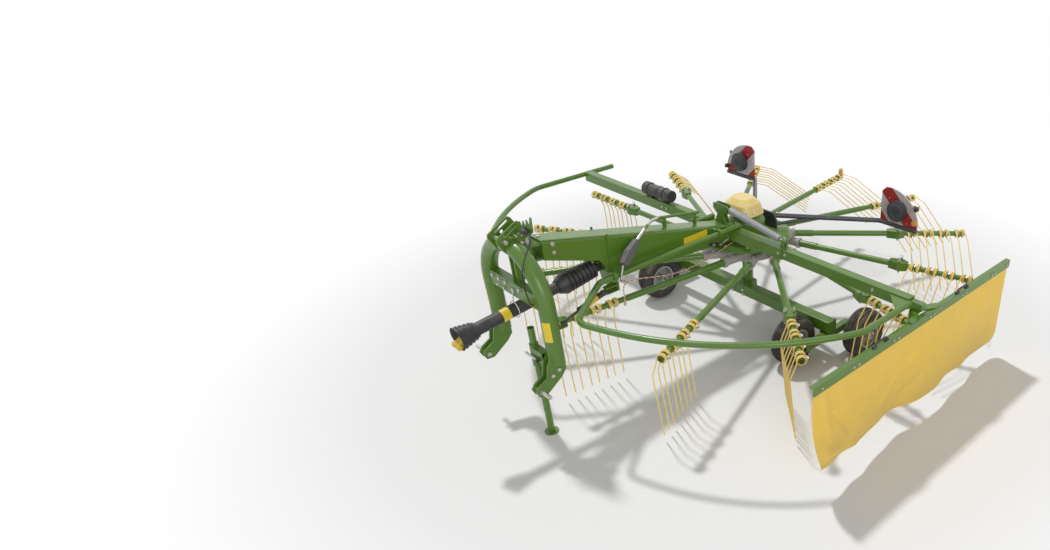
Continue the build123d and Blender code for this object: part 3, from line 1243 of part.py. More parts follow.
with BuildPart() as guard_beam_left:
    with BuildSketch(SIDE.offset(INNER_BEAM_X[0])):
        with Locations((BEAM_Y, BEAM_Z)):
            Rectangle(*INNER_BEAM)
            Rectangle(INNER_BEAM[0] - 2 * BEAM_WALL, INNER_BEAM[1] - 2 * BEAM_WALL, mode=Mode.SUBTRACT)
    extrude(amount=INNER_BEAM_X[1] - INNER_BEAM_X[0])
    with BuildSketch(SIDE.offset(INNER_BEAM_X[0])):
        with Locations((BEAM_Y, BEAM_Z)):
            Rectangle(*INNER_BEAM)
    extrude(amount=BEAM_WALL)
    with BuildSketch(SIDE.offset(OUTER_BEAM_X[0])):
        with Locations((BEAM_Y, BEAM_Z)):
            Rectangle(INNER_BEAM[0] - BEAM_WALL, INNER_BEAM[1] - BEAM_WALL)
            Rectangle(OUTER_BEAM[0] - 2 * BEAM_WALL, OUTER_BEAM[1] - 2 * BEAM_WALL, mode=Mode.SUBTRACT)
    extrude(amount=INNER_BEAM_X[1] - OUTER_BEAM_X[0])
    with BuildSketch(SIDE.offset(OUTER_BEAM_X[0])):
        with Locations((BEAM_Y, BEAM_Z)):
            Rectangle(*OUTER_BEAM)
            Rectangle(OUTER_BEAM[0] - 2 * BEAM_WALL, OUTER_BEAM[1] - 2 * BEAM_WALL, mode=Mode.SUBTRACT)
    extrude(amount=OUTER_BEAM_X[1] - OUTER_BEAM_X[0])
    # the collar that guides the curtain's carrier bar
    with BuildSketch(SIDE.offset(OUTER_BEAM_X[1] - 30)):
        with Locations((BEAM_Y, BEAM_Z)):
            Rectangle(OUTER_BEAM[0] - 1, OUTER_BEAM[1] - 1)
            Rectangle(CARRIER_SIZE + 2 * RUNNING_FIT, CARRIER_SIZE + 2 * RUNNING_FIT, mode=Mode.SUBTRACT)
    extrude(amount=30)
    bar(
        at(GUARD_HINGE_X, BEAM_Y - 60, GUARD_HINGE_Z), at(GUARD_HINGE_X, BEAM_Y + 60, GUARD_HINGE_Z),
        GUARD_TUBE_OD / 2 + SEAT_GAP, mode=Mode.SUBTRACT,
    )
    # the lug that the lift spring hooks on, an ear on each side of its eye
    for ear_y in (BEAM_Y - 9, BEAM_Y + 17):
        plate(
            Plane(origin=at(0, ear_y, 0), x_dir=(1, 0, 0), z_dir=(0, -1, 0)),
            [(630, BEAM_TOP - 2), (646, SPRING_LUG[1] + 14), (676, SPRING_LUG[1] + 14), (667, BEAM_TOP - 2)],
            8,
        )
    bar(at(SPRING_LUG[0], BEAM_Y - 18, SPRING_LUG[1]), at(SPRING_LUG[0], BEAM_Y + 18, SPRING_LUG[1]), 7)

guard_beam_left.part.label = "guard_beam_left"
export_step(guard_beam_left.part, "parts/guard_beam_left.step")

RIGHT_BEAM = (70.0, 80.0)
with BuildPart() as guard_hoop_right:
    with BuildLine() as right_route:
        FilletPolyline(*hoop_route(-1, RIGHT_HOOP_END_Y), radius=HOOP_BEND_RADII)
    bent_tube(right_route.line, GUARD_TUBE_OD / 2)

guard_hoop_right.part.label = "guard_hoop_right"
export_step(guard_hoop_right.part, "parts/guard_hoop_right.step")

with BuildPart() as guard_beam_right:
    with BuildSketch(SIDE.offset(-INNER_BEAM_X[0])):
        with Locations((BEAM_Y, BEAM_TOP - RIGHT_BEAM[1] / 2)):
            Rectangle(*RIGHT_BEAM)
            Rectangle(RIGHT_BEAM[0] - 2 * BEAM_WALL, RIGHT_BEAM[1] - 2 * BEAM_WALL, mode=Mode.SUBTRACT)
    extrude(amount=INNER_BEAM_X[0] - GUARD_X)
    bar(
        at(-GUARD_HINGE_X, BEAM_Y - 60, GUARD_HINGE_Z), at(-GUARD_HINGE_X, BEAM_Y + 60, GUARD_HINGE_Z),
        GUARD_TUBE_OD / 2 + SEAT_GAP, mode=Mode.SUBTRACT,
    )
    bar(
        at(-GUARD_X, BEAM_Y - 60, GUARD_Z), at(-GUARD_X, BEAM_Y + 60, GUARD_Z),
        GUARD_TUBE_OD / 2 + SEAT_GAP, mode=Mode.SUBTRACT,
    )

guard_beam_right.part.label = "guard_beam_right"
export_step(guard_beam_right.part, "parts/guard_beam_right.step")

CANISTER_X = (-930.0, -610.0)
CANISTER_OD = 100.0
canister_z = BEAM_TOP + 12 + CANISTER_OD / 2
with BuildPart() as document_canister:
    bar(at(CANISTER_X[0], BEAM_Y, canister_z), at(CANISTER_X[1], BEAM_Y, canister_z), CANISTER_OD / 2)
    cap_end = CANISTER_X[0] + 46
    bar(at(CANISTER_X[0] - 14, BEAM_Y, canister_z), at(cap_end, BEAM_Y, canister_z), CANISTER_OD / 2 + 5)
    for foot_x in (-860.0, -690.0):
        with BuildSketch(GROUND.offset(BEAM_TOP + SEAT_GAP)):
            with Locations((foot_x, BEAM_Y)):
                Rectangle(30, 52)
        extrude(amount=24)

document_canister.part.label = "document_canister"
export_step(document_canister.part, "parts/document_canister.step")

# ---------------------------------------------------------------- swath curtain
CARRIER_X = (1235.0, 1886.0)
RAIL_TOP = 830.0
RAIL_DROP = 60.0
RAIL_FLANGE = 30.0
RAIL_WALL = 6.0
CARRIER_ARM_REACH = 170.0
curtain_inner = CURTAIN_X - 9.7
rail_inner = curtain_inner + CURTAIN_THICKNESS + SEAT_GAP

with BuildPart() as curtain_carrier:
    with BuildSketch(SIDE.offset(CARRIER_X[0])):
        with Locations((BEAM_Y, BEAM_Z)):
            Rectangle(CARRIER_SIZE, CARRIER_SIZE)
    extrude(amount=CARRIER_X[1] - CARRIER_X[0])
    # the guide pad on the bar's inner end
    with BuildSketch(SIDE.offset(CARRIER_X[0])):
        with Locations((BEAM_Y, BEAM_Z)):
            Rectangle(
                OUTER_BEAM[0] - 2 * BEAM_WALL - 2 * RUNNING_FIT,
                OUTER_BEAM[1] - 2 * BEAM_WALL - 2 * RUNNING_FIT,
            )
    extrude(amount=30)
    # the flat arms that spread to the rail
    rail_foot_x = rail_inner - RAIL_FLANGE
    for reach in (CARRIER_ARM_REACH, -CARRIER_ARM_REACH):
        toward = 1 if reach > 0 else -1
        plate(
            GROUND.offset(RAIL_TOP + SEAT_GAP),
            [
                (CARRIER_X[1] - 90, BEAM_Y),
                (CARRIER_X[1] - 90, BEAM_Y + toward * 24),
                (rail_foot_x, BEAM_Y + reach),
                (rail_inner + RAIL_WALL - 2, BEAM_Y + reach),
                (rail_inner + RAIL_WALL - 2, BEAM_Y + reach - toward * 60),
                (CARRIER_X[1] - 20, BEAM_Y + toward * 20),
                (CARRIER_X[1] - 20, BEAM_Y),
            ],
            10,
        )
    with BuildSketch(GROUND.offset(RAIL_TOP + SEAT_GAP)):
        with Locations((CARRIER_X[1] - 55, BEAM_Y)):
            Rectangle(70, CARRIER_SIZE - 4)
    extrude(amount=BEAM_Z - RAIL_TOP)

curtain_carrier.part.label = "curtain_carrier"
export_step(curtain_carrier.part, "parts/curtain_carrier.step")

with BuildPart() as curtain_rail:
    rail_face = Plane(origin=at(0, CURTAIN_FRONT, 0), x_dir=(1, 0, 0), z_dir=(0, -1, 0))
    plate(
        rail_face,
        [
            (rail_inner - RAIL_FLANGE, RAIL_TOP),
            (rail_inner + RAIL_WALL, RAIL_TOP),
            (rail_inner + RAIL_WALL, RAIL_TOP - RAIL_DROP),
            (rail_inner, RAIL_TOP - RAIL_DROP),
            (rail_inner, RAIL_TOP - RAIL_WALL),
            (rail_inner - RAIL_FLANGE, RAIL_TOP - RAIL_WALL),
        ],
        CURTAIN_FRONT - CURTAIN_REAR,
    )

curtain_rail.part.label = "curtain_rail"
export_step(curtain_rail.part, "parts/curtain_rail.step")

CURTAIN_FRONT_BOTTOM = 188.0
CURTAIN_REAR_BOTTOM = 102.0
CURTAIN_CORNER = 90.0
with BuildPart() as curtain:
    cloth_top = RAIL_TOP - RAIL_WALL - SEAT_GAP
    with BuildSketch(SIDE.offset(curtain_inner)) as cloth_face:
        with BuildLine():
            FilletPolyline(
                (CURTAIN_REAR - 8, cloth_top),
                (CURTAIN_REAR - 8, CURTAIN_REAR_BOTTOM),
                (CURTAIN_FRONT + 8, CURTAIN_FRONT_BOTTOM),
                (CURTAIN_FRONT + 8, cloth_top),
                radius=[CURTAIN_CORNER, 12],
            )
            Line((CURTAIN_FRONT + 8, cloth_top), (CURTAIN_REAR - 8, cloth_top))
        make_face()
    extrude(cloth_face.sketch, amount=CURTAIN_THICKNESS)

curtain.part.label = "curtain"
export_step(curtain.part, "parts/curtain.step")

# ----------------------------------------------------------------- rear lights
LIGHT_ARM_OD = 40.0
LIGHT_ROOT = (100.0, 206.0, 876.0)
LIGHT_BEND = (730.0, 849.0, 812.0)
LIGHT_END_X = 1092.0
BOARD_THICKNESS = 14.0

with BuildPart() as light_arms:
    plate(
        Plane(origin=at(0, 190, 0), x_dir=(1, 0, 0), z_dir=(0, -1, 0)),
        [(-150, 776.3), (-150, 840), (-116, 902), (116, 902), (150, 840), (150, 776.3)],
        -16,
    )
    for side in (1, -1):
        root = at(side * LIGHT_ROOT[0], LIGHT_ROOT[1] - 6, LIGHT_ROOT[2])
        bend = at(side * LIGHT_BEND[0], LIGHT_BEND[1], LIGHT_BEND[2])
        end = at(side * LIGHT_END_X, LIGHT_BEND[1], LIGHT_BEND[2])
        with BuildLine() as arm_route:
            FilletPolyline(root, bend, end, radius=60)
        bent_tube(arm_route.line, LIGHT_ARM_OD / 2)
        brace_foot = at(side * 130, LIGHT_ROOT[1] - 6, 806)
        bar(brace_foot, root + (bend - root) * 0.42, 13)

light_arms.part.label = "light_arms"
export_step(light_arms.part, "parts/light_arms.step")

with BuildPart() as light_boards:
    for side in (1, -1):
        board_front = Plane(
            origin=at(0, LIGHT_BEND[1] - BOARD_THICKNESS / 2, 0), x_dir=(side, 0, 0), z_dir=(0, -side, 0)
        )
        board_bottom = LIGHT_BEND[2] + LIGHT_ARM_OD / 2 + SEAT_GAP
        with BuildSketch(board_front) as board_face:
            with BuildLine():
                Polyline((1098, 872), (1090, board_bottom), (736, board_bottom), (736, 1078), (770, 1112))
                ThreePointArc((770, 1112), (1000, 1046), (1098, 872))
            make_face()
        extrude(board_face.sketch, amount=-side * BOARD_THICKNESS)

light_boards.part.label = "light_boards"
export_step(light_boards.part, "parts/light_boards.step")

LAMP_AT = (905.0, 948.0)
LAMP_OD = 140.0
with BuildPart() as tail_lamps:
    for side in (1, -1):
        lamp_front = LIGHT_BEND[1] - BOARD_THICKNESS / 2 - SEAT_GAP
        lamp_place = at(side * LAMP_AT[0], lamp_front, LAMP_AT[1])
        with BuildSketch(Plane(origin=lamp_place, z_dir=(0, -1, 0))) as lamp_face:
            Circle(LAMP_OD / 2)
        extrude(lamp_face.sketch, amount=44, taper=14)

tail_lamps.part.label = "tail_lamps"
export_step(tail_lamps.part, "parts/tail_lamps.step")

# ---------------------------------------------------------------- height crank
CRANK_OD = 22.0
CRANK_REAR = (-520.0, 1088.0)  # rearward, up
CRANK_FRONT = (-880.0, 1152.0)
CRANK_STAND_Y = (-850.0, -560.0)
GRIP_TOP = (118.0, -1198.0, 1110.0)
GRIP_BOTTOM = (182.0, -1376.0, 1010.0)
GRIP_START = 1.5  # along the grip, clear of the rod's slanted end

with BuildPart() as height_crank:
    with BuildLine() as crank_line:
        FilletPolyline(
            at(0, *CRANK_REAR),
            at(0, *CRANK_FRONT),
            at(14, -975, 1164),
            at(76, -1075, 1162),
            at(*GRIP_TOP),
            radius=[90, 60, 120],
        )
    bent_tube(crank_line.line, CRANK_OD / 2)
    # the stands that carry the rod over the boom
    for stand_y in CRANK_STAND_Y:
        share = (stand_y - CRANK_REAR[0]) / (CRANK_FRONT[0] - CRANK_REAR[0])
        rod_z = CRANK_REAR[1] + share * (CRANK_FRONT[1] - CRANK_REAR[1])
        stand_foot = boom_top(stand_y - 8) + SEAT_GAP
        with BuildSketch(GROUND.offset(stand_foot)) as stand:
            with Locations((0, stand_y)):
                Rectangle(26, 16)
        extrude(stand.sketch, amount=rod_z - stand_foot)

height_crank.part.label = "height_crank"
export_step(height_crank.part, "parts/height_crank.step")

with BuildPart() as crank_grip:
    grip_top = at(*GRIP_TOP)
    grip_bottom = at(*GRIP_BOTTOM)
    grip_run = grip_bottom - grip_top
    grip_frame = Plane(origin=grip_top, x_dir=(1, 0, 0), z_dir=grip_run)
    with BuildSketch(grip_frame.offset(GRIP_START)) as grip_a:
        RectangleRounded(42, 44, 8)
    with BuildSketch(grip_frame.offset(0.55 * grip_run.length)) as grip_b:
        RectangleRounded(50, 78, 10)
    with BuildSketch(grip_frame.offset(grip_run.length)) as grip_c:
        RectangleRounded(40, 52, 8)
    loft([grip_a.sketch, grip_b.sketch], ruled=True)
    loft([grip_b.sketch, grip_c.sketch], ruled=True)
    with BuildLine() as hook_line:
        FilletPolyline(
            grip_bottom, at(188, -1412, 905), at(188, -1382, 880), at(188, -1366, 916), radius=[14, 14]
        )
    bent_tube(hook_line.line, 8)

crank_grip.part.label = "crank_grip"
export_step(crank_grip.part, "parts/crank_grip.step")

# ------------------------------------------------------- pull rope of the guard
ROPE_OD = 8.0
KNOT_OD = 19.0
KNOT_LENGTH = 22.0
KNOT_EDGE_RADIUS = 6.0

# tied to the boom's bolt, slung under the hinge tube, tied again at the crank's
# hook, and its free end hangs down from there
ROPE_ROUTE = [
    (104.0, -206.5, 825.9),
    (107.0, -238.0, 803.0),
    (111.0, -292.0, 789.0),
    (117.0, -372.0, 777.0),
    (125.0, -470.0, 764.0),
    (134.0, -578.0, 756.0),
    (143.0, -690.0, 752.0),
    (151.0, -798.0, 757.0),
    (160.0, -905.0, 770.0),
    (168.0, -1008.0, 791.0),
    (175.0, -1108.0, 818.0),
    (183.0, -1204.0, 849.0),
    (191.0, -1290.0, 873.0),
    (200.5, -1350.0, 882.0),
    (200.7, -1388.0, 880.0),
    (201.5, -1408.0, 860.0),
    (202.5, -1413.0, 822.0),
    (204.0, -1409.0, 778.0),
    (203.5, -1412.0, 740.0),
]


def bend_radii(route: list, name: str) -> list:
    """The largest arc that fits at each corner of a cord's route."""
    radii = []
    for before, corner, after in zip(route, route[1:], route[2:]):
        first, second = corner - before, after - corner
        turn = radians(first.get_angle(second))
        radii.append(0.45 * min(first.length, second.length) / tan(turn / 2))
    print(name, "bend radii", [round(radius) for radius in radii])
    return radii


rope_points = [at(*place) for place in ROPE_ROUTE]
rope_end_run = (rope_points[-1] - rope_points[-2]).normalized()

with BuildPart() as pull_rope:
    with BuildLine() as rope_line:
        FilletPolyline(*rope_points, radius=bend_radii(rope_points, "pull_rope"))
    bent_tube(rope_line.line, ROPE_OD / 2)

pull_rope.part.label = "pull_rope"
export_step(pull_rope.part, "parts/pull_rope.step")
rope_length = sum(edge.length for edge in rope_line.edges())
print("pull_rope length", round(rope_length), "volume", round(pull_rope.part.volume),
      "section times length", round(rope_length * pi * ROPE_OD**2 / 4))

with BuildPart() as rope_knot:
    bar(rope_points[-1], rope_points[-1] + rope_end_run * KNOT_LENGTH, KNOT_OD / 2)
    fillet(rope_knot.edges(), KNOT_EDGE_RADIUS)

rope_knot.part.label = "rope_knot"
export_step(rope_knot.part, "parts/rope_knot.step")

# ------------------------------------------ light cable, parked on the hose comb
CABLE_OD = 8.0
PLUG_OD = 32.0
PLUG_NECK_OD = 22.0
PLUG_Y = HOSE_RACK_Y - HOSE_RACK_THICKNESS - SEAT_GAP - PLUG_OD / 2
PLUG_Z = 1470.0
PLUG_X = (172.0, 222.0, 236.0)  # the plug's free end, its shoulder, its cable end
CABLE_END_X = 225.0
CABLE_END_Z = 1008.0

# out of the plug, over the arch's flank and down its front into the cross channel
CABLE_ROUTE = [
    (PLUG_X[2], PLUG_Y, PLUG_Z),
    (257.0, PLUG_Y - 1, PLUG_Z - 3),
    (269.0, -2054.0, 1451.0),
    (274.0, -2064.0, 1426.0),
    (269.0, -2077.0, 1395.0),
    (258.0, -2092.0, 1358.0),
    (248.0, -2108.0, 1318.0),
    (240.0, -2122.0, 1276.0),
    (231.0, -2131.0, 1232.0),
    (224.0, -2133.0, 1182.0),
    (220.0, -2129.0, 1132.0),
    (221.0, -2122.0, 1086.0),
    (223.0, -2117.0, 1050.0),
    (224.5, -2115.0, 1028.0),
    (225.2, -2110.0, 1015.0),
    (CABLE_END_X, -2105.0, CABLE_END_Z),
    (CABLE_END_X, CHANNEL_FRONT_Y - SEAT_GAP, CABLE_END_Z),
]
cable_points = [at(*place) for place in CABLE_ROUTE]

with BuildPart() as light_cable:
    with BuildLine() as cable_line:
        FilletPolyline(*cable_points, radius=bend_radii(cable_points, "light_cable"))
    bent_tube(cable_line.line, CABLE_OD / 2)

light_cable.part.label = "light_cable"
export_step(light_cable.part, "parts/light_cable.step")
cable_length = sum(edge.length for edge in cable_line.edges())
print("light_cable length", round(cable_length), "volume", round(light_cable.part.volume),
      "section times length", round(cable_length * pi * CABLE_OD**2 / 4))

with BuildPart() as cable_plug:
    bar(at(PLUG_X[0], PLUG_Y, PLUG_Z), at(PLUG_X[1], PLUG_Y, PLUG_Z), PLUG_OD / 2)
    bar(at(PLUG_X[1], PLUG_Y, PLUG_Z), at(PLUG_X[2], PLUG_Y, PLUG_Z), PLUG_NECK_OD / 2)

cable_plug.part.label = "cable_plug"
export_step(cable_plug.part, "parts/cable_plug.step")
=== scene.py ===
"""Looks of a mounted single-rotor hay rake: finishes, wound springs, tyres, curtain, rope and trim."""
from __future__ import annotations

import json
import logging
import math
from dataclasses import dataclass
from enum import Enum
from typing import Callable, Iterable

import bpy
from mathutils import Matrix, Vector
from mathutils.bvhtree import BVHTree

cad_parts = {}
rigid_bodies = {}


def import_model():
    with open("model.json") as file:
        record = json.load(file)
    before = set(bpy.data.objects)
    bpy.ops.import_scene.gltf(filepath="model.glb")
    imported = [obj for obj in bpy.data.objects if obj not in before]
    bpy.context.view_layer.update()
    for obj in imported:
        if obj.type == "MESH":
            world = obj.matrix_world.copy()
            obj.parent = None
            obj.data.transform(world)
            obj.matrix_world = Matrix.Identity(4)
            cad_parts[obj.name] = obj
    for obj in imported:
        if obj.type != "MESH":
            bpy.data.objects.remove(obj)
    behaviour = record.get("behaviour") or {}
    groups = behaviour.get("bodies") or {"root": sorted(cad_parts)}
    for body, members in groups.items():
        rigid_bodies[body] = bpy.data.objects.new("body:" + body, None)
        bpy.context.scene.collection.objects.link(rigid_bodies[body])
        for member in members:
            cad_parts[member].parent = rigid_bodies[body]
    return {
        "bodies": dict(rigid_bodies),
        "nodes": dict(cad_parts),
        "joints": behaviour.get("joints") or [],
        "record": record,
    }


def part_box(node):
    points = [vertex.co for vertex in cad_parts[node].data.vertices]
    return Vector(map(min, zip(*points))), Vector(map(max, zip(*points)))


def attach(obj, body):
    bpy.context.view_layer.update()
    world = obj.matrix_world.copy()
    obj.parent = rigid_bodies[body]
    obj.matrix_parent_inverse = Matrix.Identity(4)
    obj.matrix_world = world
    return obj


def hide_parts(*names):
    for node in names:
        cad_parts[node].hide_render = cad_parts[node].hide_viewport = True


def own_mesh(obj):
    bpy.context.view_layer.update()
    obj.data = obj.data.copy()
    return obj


LOG = logging.getLogger("hay_rake")
Colour = tuple[float, float, float]
Sockets = bpy.types.bpy_prop_collection
Place = tuple[float, float, float]
MM = 0.001
LEFT, RIGHT = Vector((1, 0, 0)), Vector((-1, 0, 0))
AHEAD, BEHIND = Vector((0, -1, 0)), Vector((0, 1, 0))
UP = Vector((0, 0, 1))
SIDES = ((1, "left"), (-1, "right"))


# ------------------------------------------------------------------ measuring
class Machine:
    """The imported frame, with places stated in millimetres from the rotor's axis at ground level."""

    def __init__(self, frame: dict) -> None:
        """Reads the rotor's axis from the record.
        """
        self.nodes: dict[str, bpy.types.Object] = frame["nodes"]
        self.record: dict = frame["record"]
        self.joints: dict[str, dict] = {joint["name"]: joint for joint in frame["joints"]}
        axis = self.joints["rotor_spin"]["pos_m"]
        self.axis = Vector((axis[0], axis[1], 0.0))
        self.trees: dict[str, BVHTree] = {}

    def at(self, left: float, rearward: float, up: float) -> Vector:
        """A place on the machine, in metres.

        Args:
            left: millimetres to the machine's left.
            rearward: millimetres behind the rotor's axis.
            up: millimetres above the ground.

        Returns:
            The place in the shared frame.
        """
        return self.axis + Vector((left, rearward, up)) * MM

    def pivot(self, joint: str) -> Vector:
        """The place of a joint's axis, in metres."""
        return Vector(self.joints[joint]["pos_m"])

    def touch(self, node: str, place: Vector, direction: Vector, reach: float = 0.08) -> Vector | None:
        """Where a node's skin lies under a place.

        Args:
            node: the node.
            place: a place near the skin, in metres.
            direction: the way out of the skin.
            reach: how far outside the search starts, in metres.

        Returns:
            The place on the skin, or None where there is none.
        """
        if node not in self.trees:
            mesh = self.nodes[node].data
            points = [point.co for point in mesh.vertices]
            self.trees[node] = BVHTree.FromPolygons(points, [face.vertices[:] for face in mesh.polygons])
        out = direction.normalized()
        return self.trees[node].ray_cast(place + out * reach, -out, reach * 2)[0]


# ---------------------------------------------------------------- node groups
class Bench:
    """One node tree, with short ways to add and join nodes."""

    def __init__(self, tree: bpy.types.NodeTree) -> None:
        """Keeps the tree that is being wired."""
        self.tree = tree

    def add(self, kind: str, **settings: object) -> bpy.types.Node:
        """Adds a node and sets its properties.

        Args:
            kind: the node's type name.
            settings: properties of the node.

        Returns:
            The new node.
        """
        node = self.tree.nodes.new(kind)
        for key, value in settings.items():
            setattr(node, key, value)
        return node

    def join(self, source: bpy.types.NodeSocket, target: bpy.types.NodeSocket) -> None:
        """Joins two sockets."""
        self.tree.links.new(source, target)

    def feed(self, target: bpy.types.NodeSocket, value: object) -> None:
        """Joins a socket, or sets a plain value, whichever is given."""
        if isinstance(value, bpy.types.NodeSocket):
            self.join(value, target)
        else:
            target.default_value = value

    def place(self) -> bpy.types.NodeSocket:
        """The object's own coordinates."""
        return self.add("ShaderNodeTexCoord").outputs["Object"]

    def axes(self) -> Sockets:
        """The object's own coordinates, as X, Y and Z."""
        split = self.add("ShaderNodeSeparateXYZ")
        self.join(self.place(), split.inputs[0])
        return split.outputs

    def use(self, tree: bpy.types.NodeTree, **values: float) -> Sockets:
        """Adds a shared group with its own values, and gives its outputs."""
        node = self.add("ShaderNodeGroup", node_tree=tree)
        for key, value in values.items():
            node.inputs[key].default_value = value
        return node.outputs

    def seen(self) -> bpy.types.NodeSocket:
        """1 for what the camera sees, straight or in a mirror."""
        rays = self.add("ShaderNodeLightPath").outputs
        return self.math("MAXIMUM", rays["Is Camera Ray"], rays["Is Glossy Ray"])

    def math(self, operation: str, *values: object, clamp: bool = False) -> bpy.types.NodeSocket:
        """A Math node's result.

        Args:
            operation: the node's operation.
            values: sockets or numbers, in the order of the inputs.
            clamp: whether the result stays between 0 and 1.

        Returns:
            The result's socket.
        """
        node = self.add("ShaderNodeMath", operation=operation, use_clamp=clamp)
        for socket, value in zip(node.inputs, values):
            self.feed(socket, value)
        return node.outputs[0]

    def blend(self, factor: object, first: object, second: object) -> bpy.types.NodeSocket:
        """Mixes two colours.

        Args:
            factor: the share of the second colour.
            first: a socket or an RGBA value.
            second: a socket or an RGBA value.

        Returns:
            The mixed colour's socket.
        """
        node = self.add("ShaderNodeMix", data_type="RGBA", clamp_factor=True)
        self.feed(node.inputs[0], factor)
        self.feed(node.inputs[6], first)
        self.feed(node.inputs[7], second)
        return node.outputs[2]

    def noise(self, coordinates: bpy.types.NodeSocket, scale: object, detail: float) -> bpy.types.NodeSocket:
        """A noise value on the given coordinates.

        Args:
            coordinates: the pattern's coordinates.
            scale: cells a metre, a socket or a number.
            detail: how many finer layers the noise has.

        Returns:
            The value's socket.
        """
        node = self.add("ShaderNodeTexNoise")
        self.join(coordinates, node.inputs["Vector"])
        self.feed(node.inputs["Scale"], scale)
        node.inputs["Detail"].default_value = detail
        node.inputs["Roughness"].default_value = 0.62
        return node.outputs["Fac"]


def open_group(name: str, inputs: dict[str, float], outputs: Iterable[str]) -> tuple[Bench, object, object]:
    """Starts a shader node group of plain values.

    Args:
        name: the group's name.
        inputs: each input's name and default value.
        outputs: the outputs' names.

    Returns:
        The bench, the group's input node and its output node.
    """
    tree = bpy.data.node_groups.new(name, "ShaderNodeTree")
    for label, default in inputs.items():
        socket = tree.interface.new_socket(name=label, in_out="INPUT", socket_type="NodeSocketFloat")
        socket.default_value = default
    for label in outputs:
        tree.interface.new_socket(name=label, in_out="OUTPUT", socket_type="NodeSocketFloat")
    bench = Bench(tree)
    return bench, bench.add("NodeGroupInput"), bench.add("NodeGroupOutput")


def weathering_group() -> bpy.types.NodeTree:
    """Uneven colour, stone chips, settled dust and a fine skin, for every hard surface.

    Returns:
        The node group.
    """
    bench, given, result = open_group(
        "weathering", {"Grain": 400.0, "Chips": 0.02, "Dust": 0.2},
        ("Tint", "Chip", "Dirt", "Relief", "Gloss"),
    )
    place = bench.place()
    broad = bench.noise(place, 2.3, 3.0)
    blotch = bench.noise(place, 13.0, 4.0)
    patches = bench.math("MULTIPLY_ADD", blotch, 0.45, bench.math("MULTIPLY", broad, 0.55))
    bench.join(patches, result.inputs["Tint"])
    fine = bench.noise(place, given.outputs["Grain"], 2.0)
    coarse = bench.noise(place, 70.0, 6.0)
    bench.join(bench.math("MULTIPLY_ADD", coarse, 0.25, fine), result.inputs["Relief"])
    scuff = bench.noise(place, 95.0, 9.0)
    edge = bench.math("SUBTRACT", 0.80, given.outputs["Chips"])
    chip = bench.math("MULTIPLY", bench.math("SUBTRACT", scuff, edge), 40.0, clamp=True)
    bench.join(chip, result.inputs["Chip"])
    facing = bench.add("ShaderNodeSeparateXYZ")
    bench.join(bench.add("ShaderNodeNewGeometry").outputs["Normal"], facing.inputs[0])
    upward = bench.math("MAXIMUM", facing.outputs["Z"], 0.0)
    smudge = bench.math("MULTIPLY", bench.math("SUBTRACT", blotch, 0.42), 3.2, clamp=True)
    lying = bench.math("MULTIPLY", bench.math("ADD", upward, 0.25), smudge)
    bench.join(bench.math("MULTIPLY", lying, given.outputs["Dust"], clamp=True), result.inputs["Dirt"])
    bench.join(bench.math("SUBTRACT", bench.noise(place, 31.0, 5.0), 0.5), result.inputs["Gloss"])
    return bench.tree


def weave_group() -> bpy.types.NodeTree:
    """The threads of a coated cloth that hangs along the travel.

    Returns:
        The node group.
    """
    bench, given, result = open_group("cloth_weave", {"Threads": 420.0}, ("Relief", "Shade"))
    split = bench.axes()
    turns = bench.math("MULTIPLY", given.outputs["Threads"], math.tau)
    warp = bench.math("SINE", bench.math("MULTIPLY", split["Y"], turns))
    weft = bench.math("SINE", bench.math("MULTIPLY", split["Z"], turns))
    crossed = bench.math("MULTIPLY", warp, weft)
    bench.join(bench.math("MULTIPLY_ADD", crossed, 0.5, 0.5), result.inputs["Relief"])
    soil = bench.noise(bench.place(), 5.0, 5.0)
    low = bench.math("MULTIPLY", bench.math("SUBTRACT", 0.52, split["Z"]), 1.5, clamp=True)
    bench.join(bench.math("MULTIPLY", soil, low), result.inputs["Shade"])
    return bench.tree


def stripes_group() -> bpy.types.NodeTree:
    """Diagonal bars that rise to the middle of the machine on both boards.

    Returns:
        The node group.
    """
    bench, given, result = open_group("diagonal_bars", {"Pitch": 0.14, "Middle": 0.0}, ("Bar", "Cell"))
    split = bench.axes()
    outward = bench.math("ABSOLUTE", bench.math("SUBTRACT", split["X"], given.outputs["Middle"]))
    ramp = bench.math("DIVIDE", bench.math("ADD", outward, split["Z"]), given.outputs["Pitch"])
    bench.join(bench.math("GREATER_THAN", bench.math("FRACT", ramp), 0.5), result.inputs["Bar"])
    cells = bench.add("ShaderNodeTexVoronoi", feature="DISTANCE_TO_EDGE")
    bench.join(bench.place(), cells.inputs["Vector"])
    cells.inputs["Scale"].default_value = 260.0
    bench.join(bench.math("MULTIPLY", cells.outputs["Distance"], 2.5, clamp=True), result.inputs["Cell"])
    return bench.tree


def strands_group() -> bpy.types.NodeTree:
    """Slanted strands of a laid rope that runs mostly along the travel.

    Returns:
        The node group.
    """
    bench, given, result = open_group("rope_strands", {"Lay": 95.0}, ("Strand", "Relief"))
    split = bench.axes()
    slant = bench.math("ADD", bench.math("MULTIPLY", split["X"], 1.3), split["Y"])
    slant = bench.math("MULTIPLY_ADD", split["Z"], 1.1, slant)
    for turns, rise, middle, clamp, output in (
        (math.tau, 0.5, 0.5, False, "Relief"), (2.1, 1.5, 0.2, True, "Strand"),
    ):
        lay = bench.math("MULTIPLY", given.outputs["Lay"], turns)
        wave = bench.math("SINE", bench.math("MULTIPLY", slant, lay))
        bench.join(bench.math("MULTIPLY_ADD", wave, rise, middle, clamp=clamp), result.inputs[output])
    return bench.tree


class Groups:
    """The shared node groups, each built once."""

    def __init__(self) -> None:
        """Builds every group."""
        self.weathering = weathering_group()
        self.weave = weave_group()
        self.stripes = stripes_group()
        self.strands = strands_group()


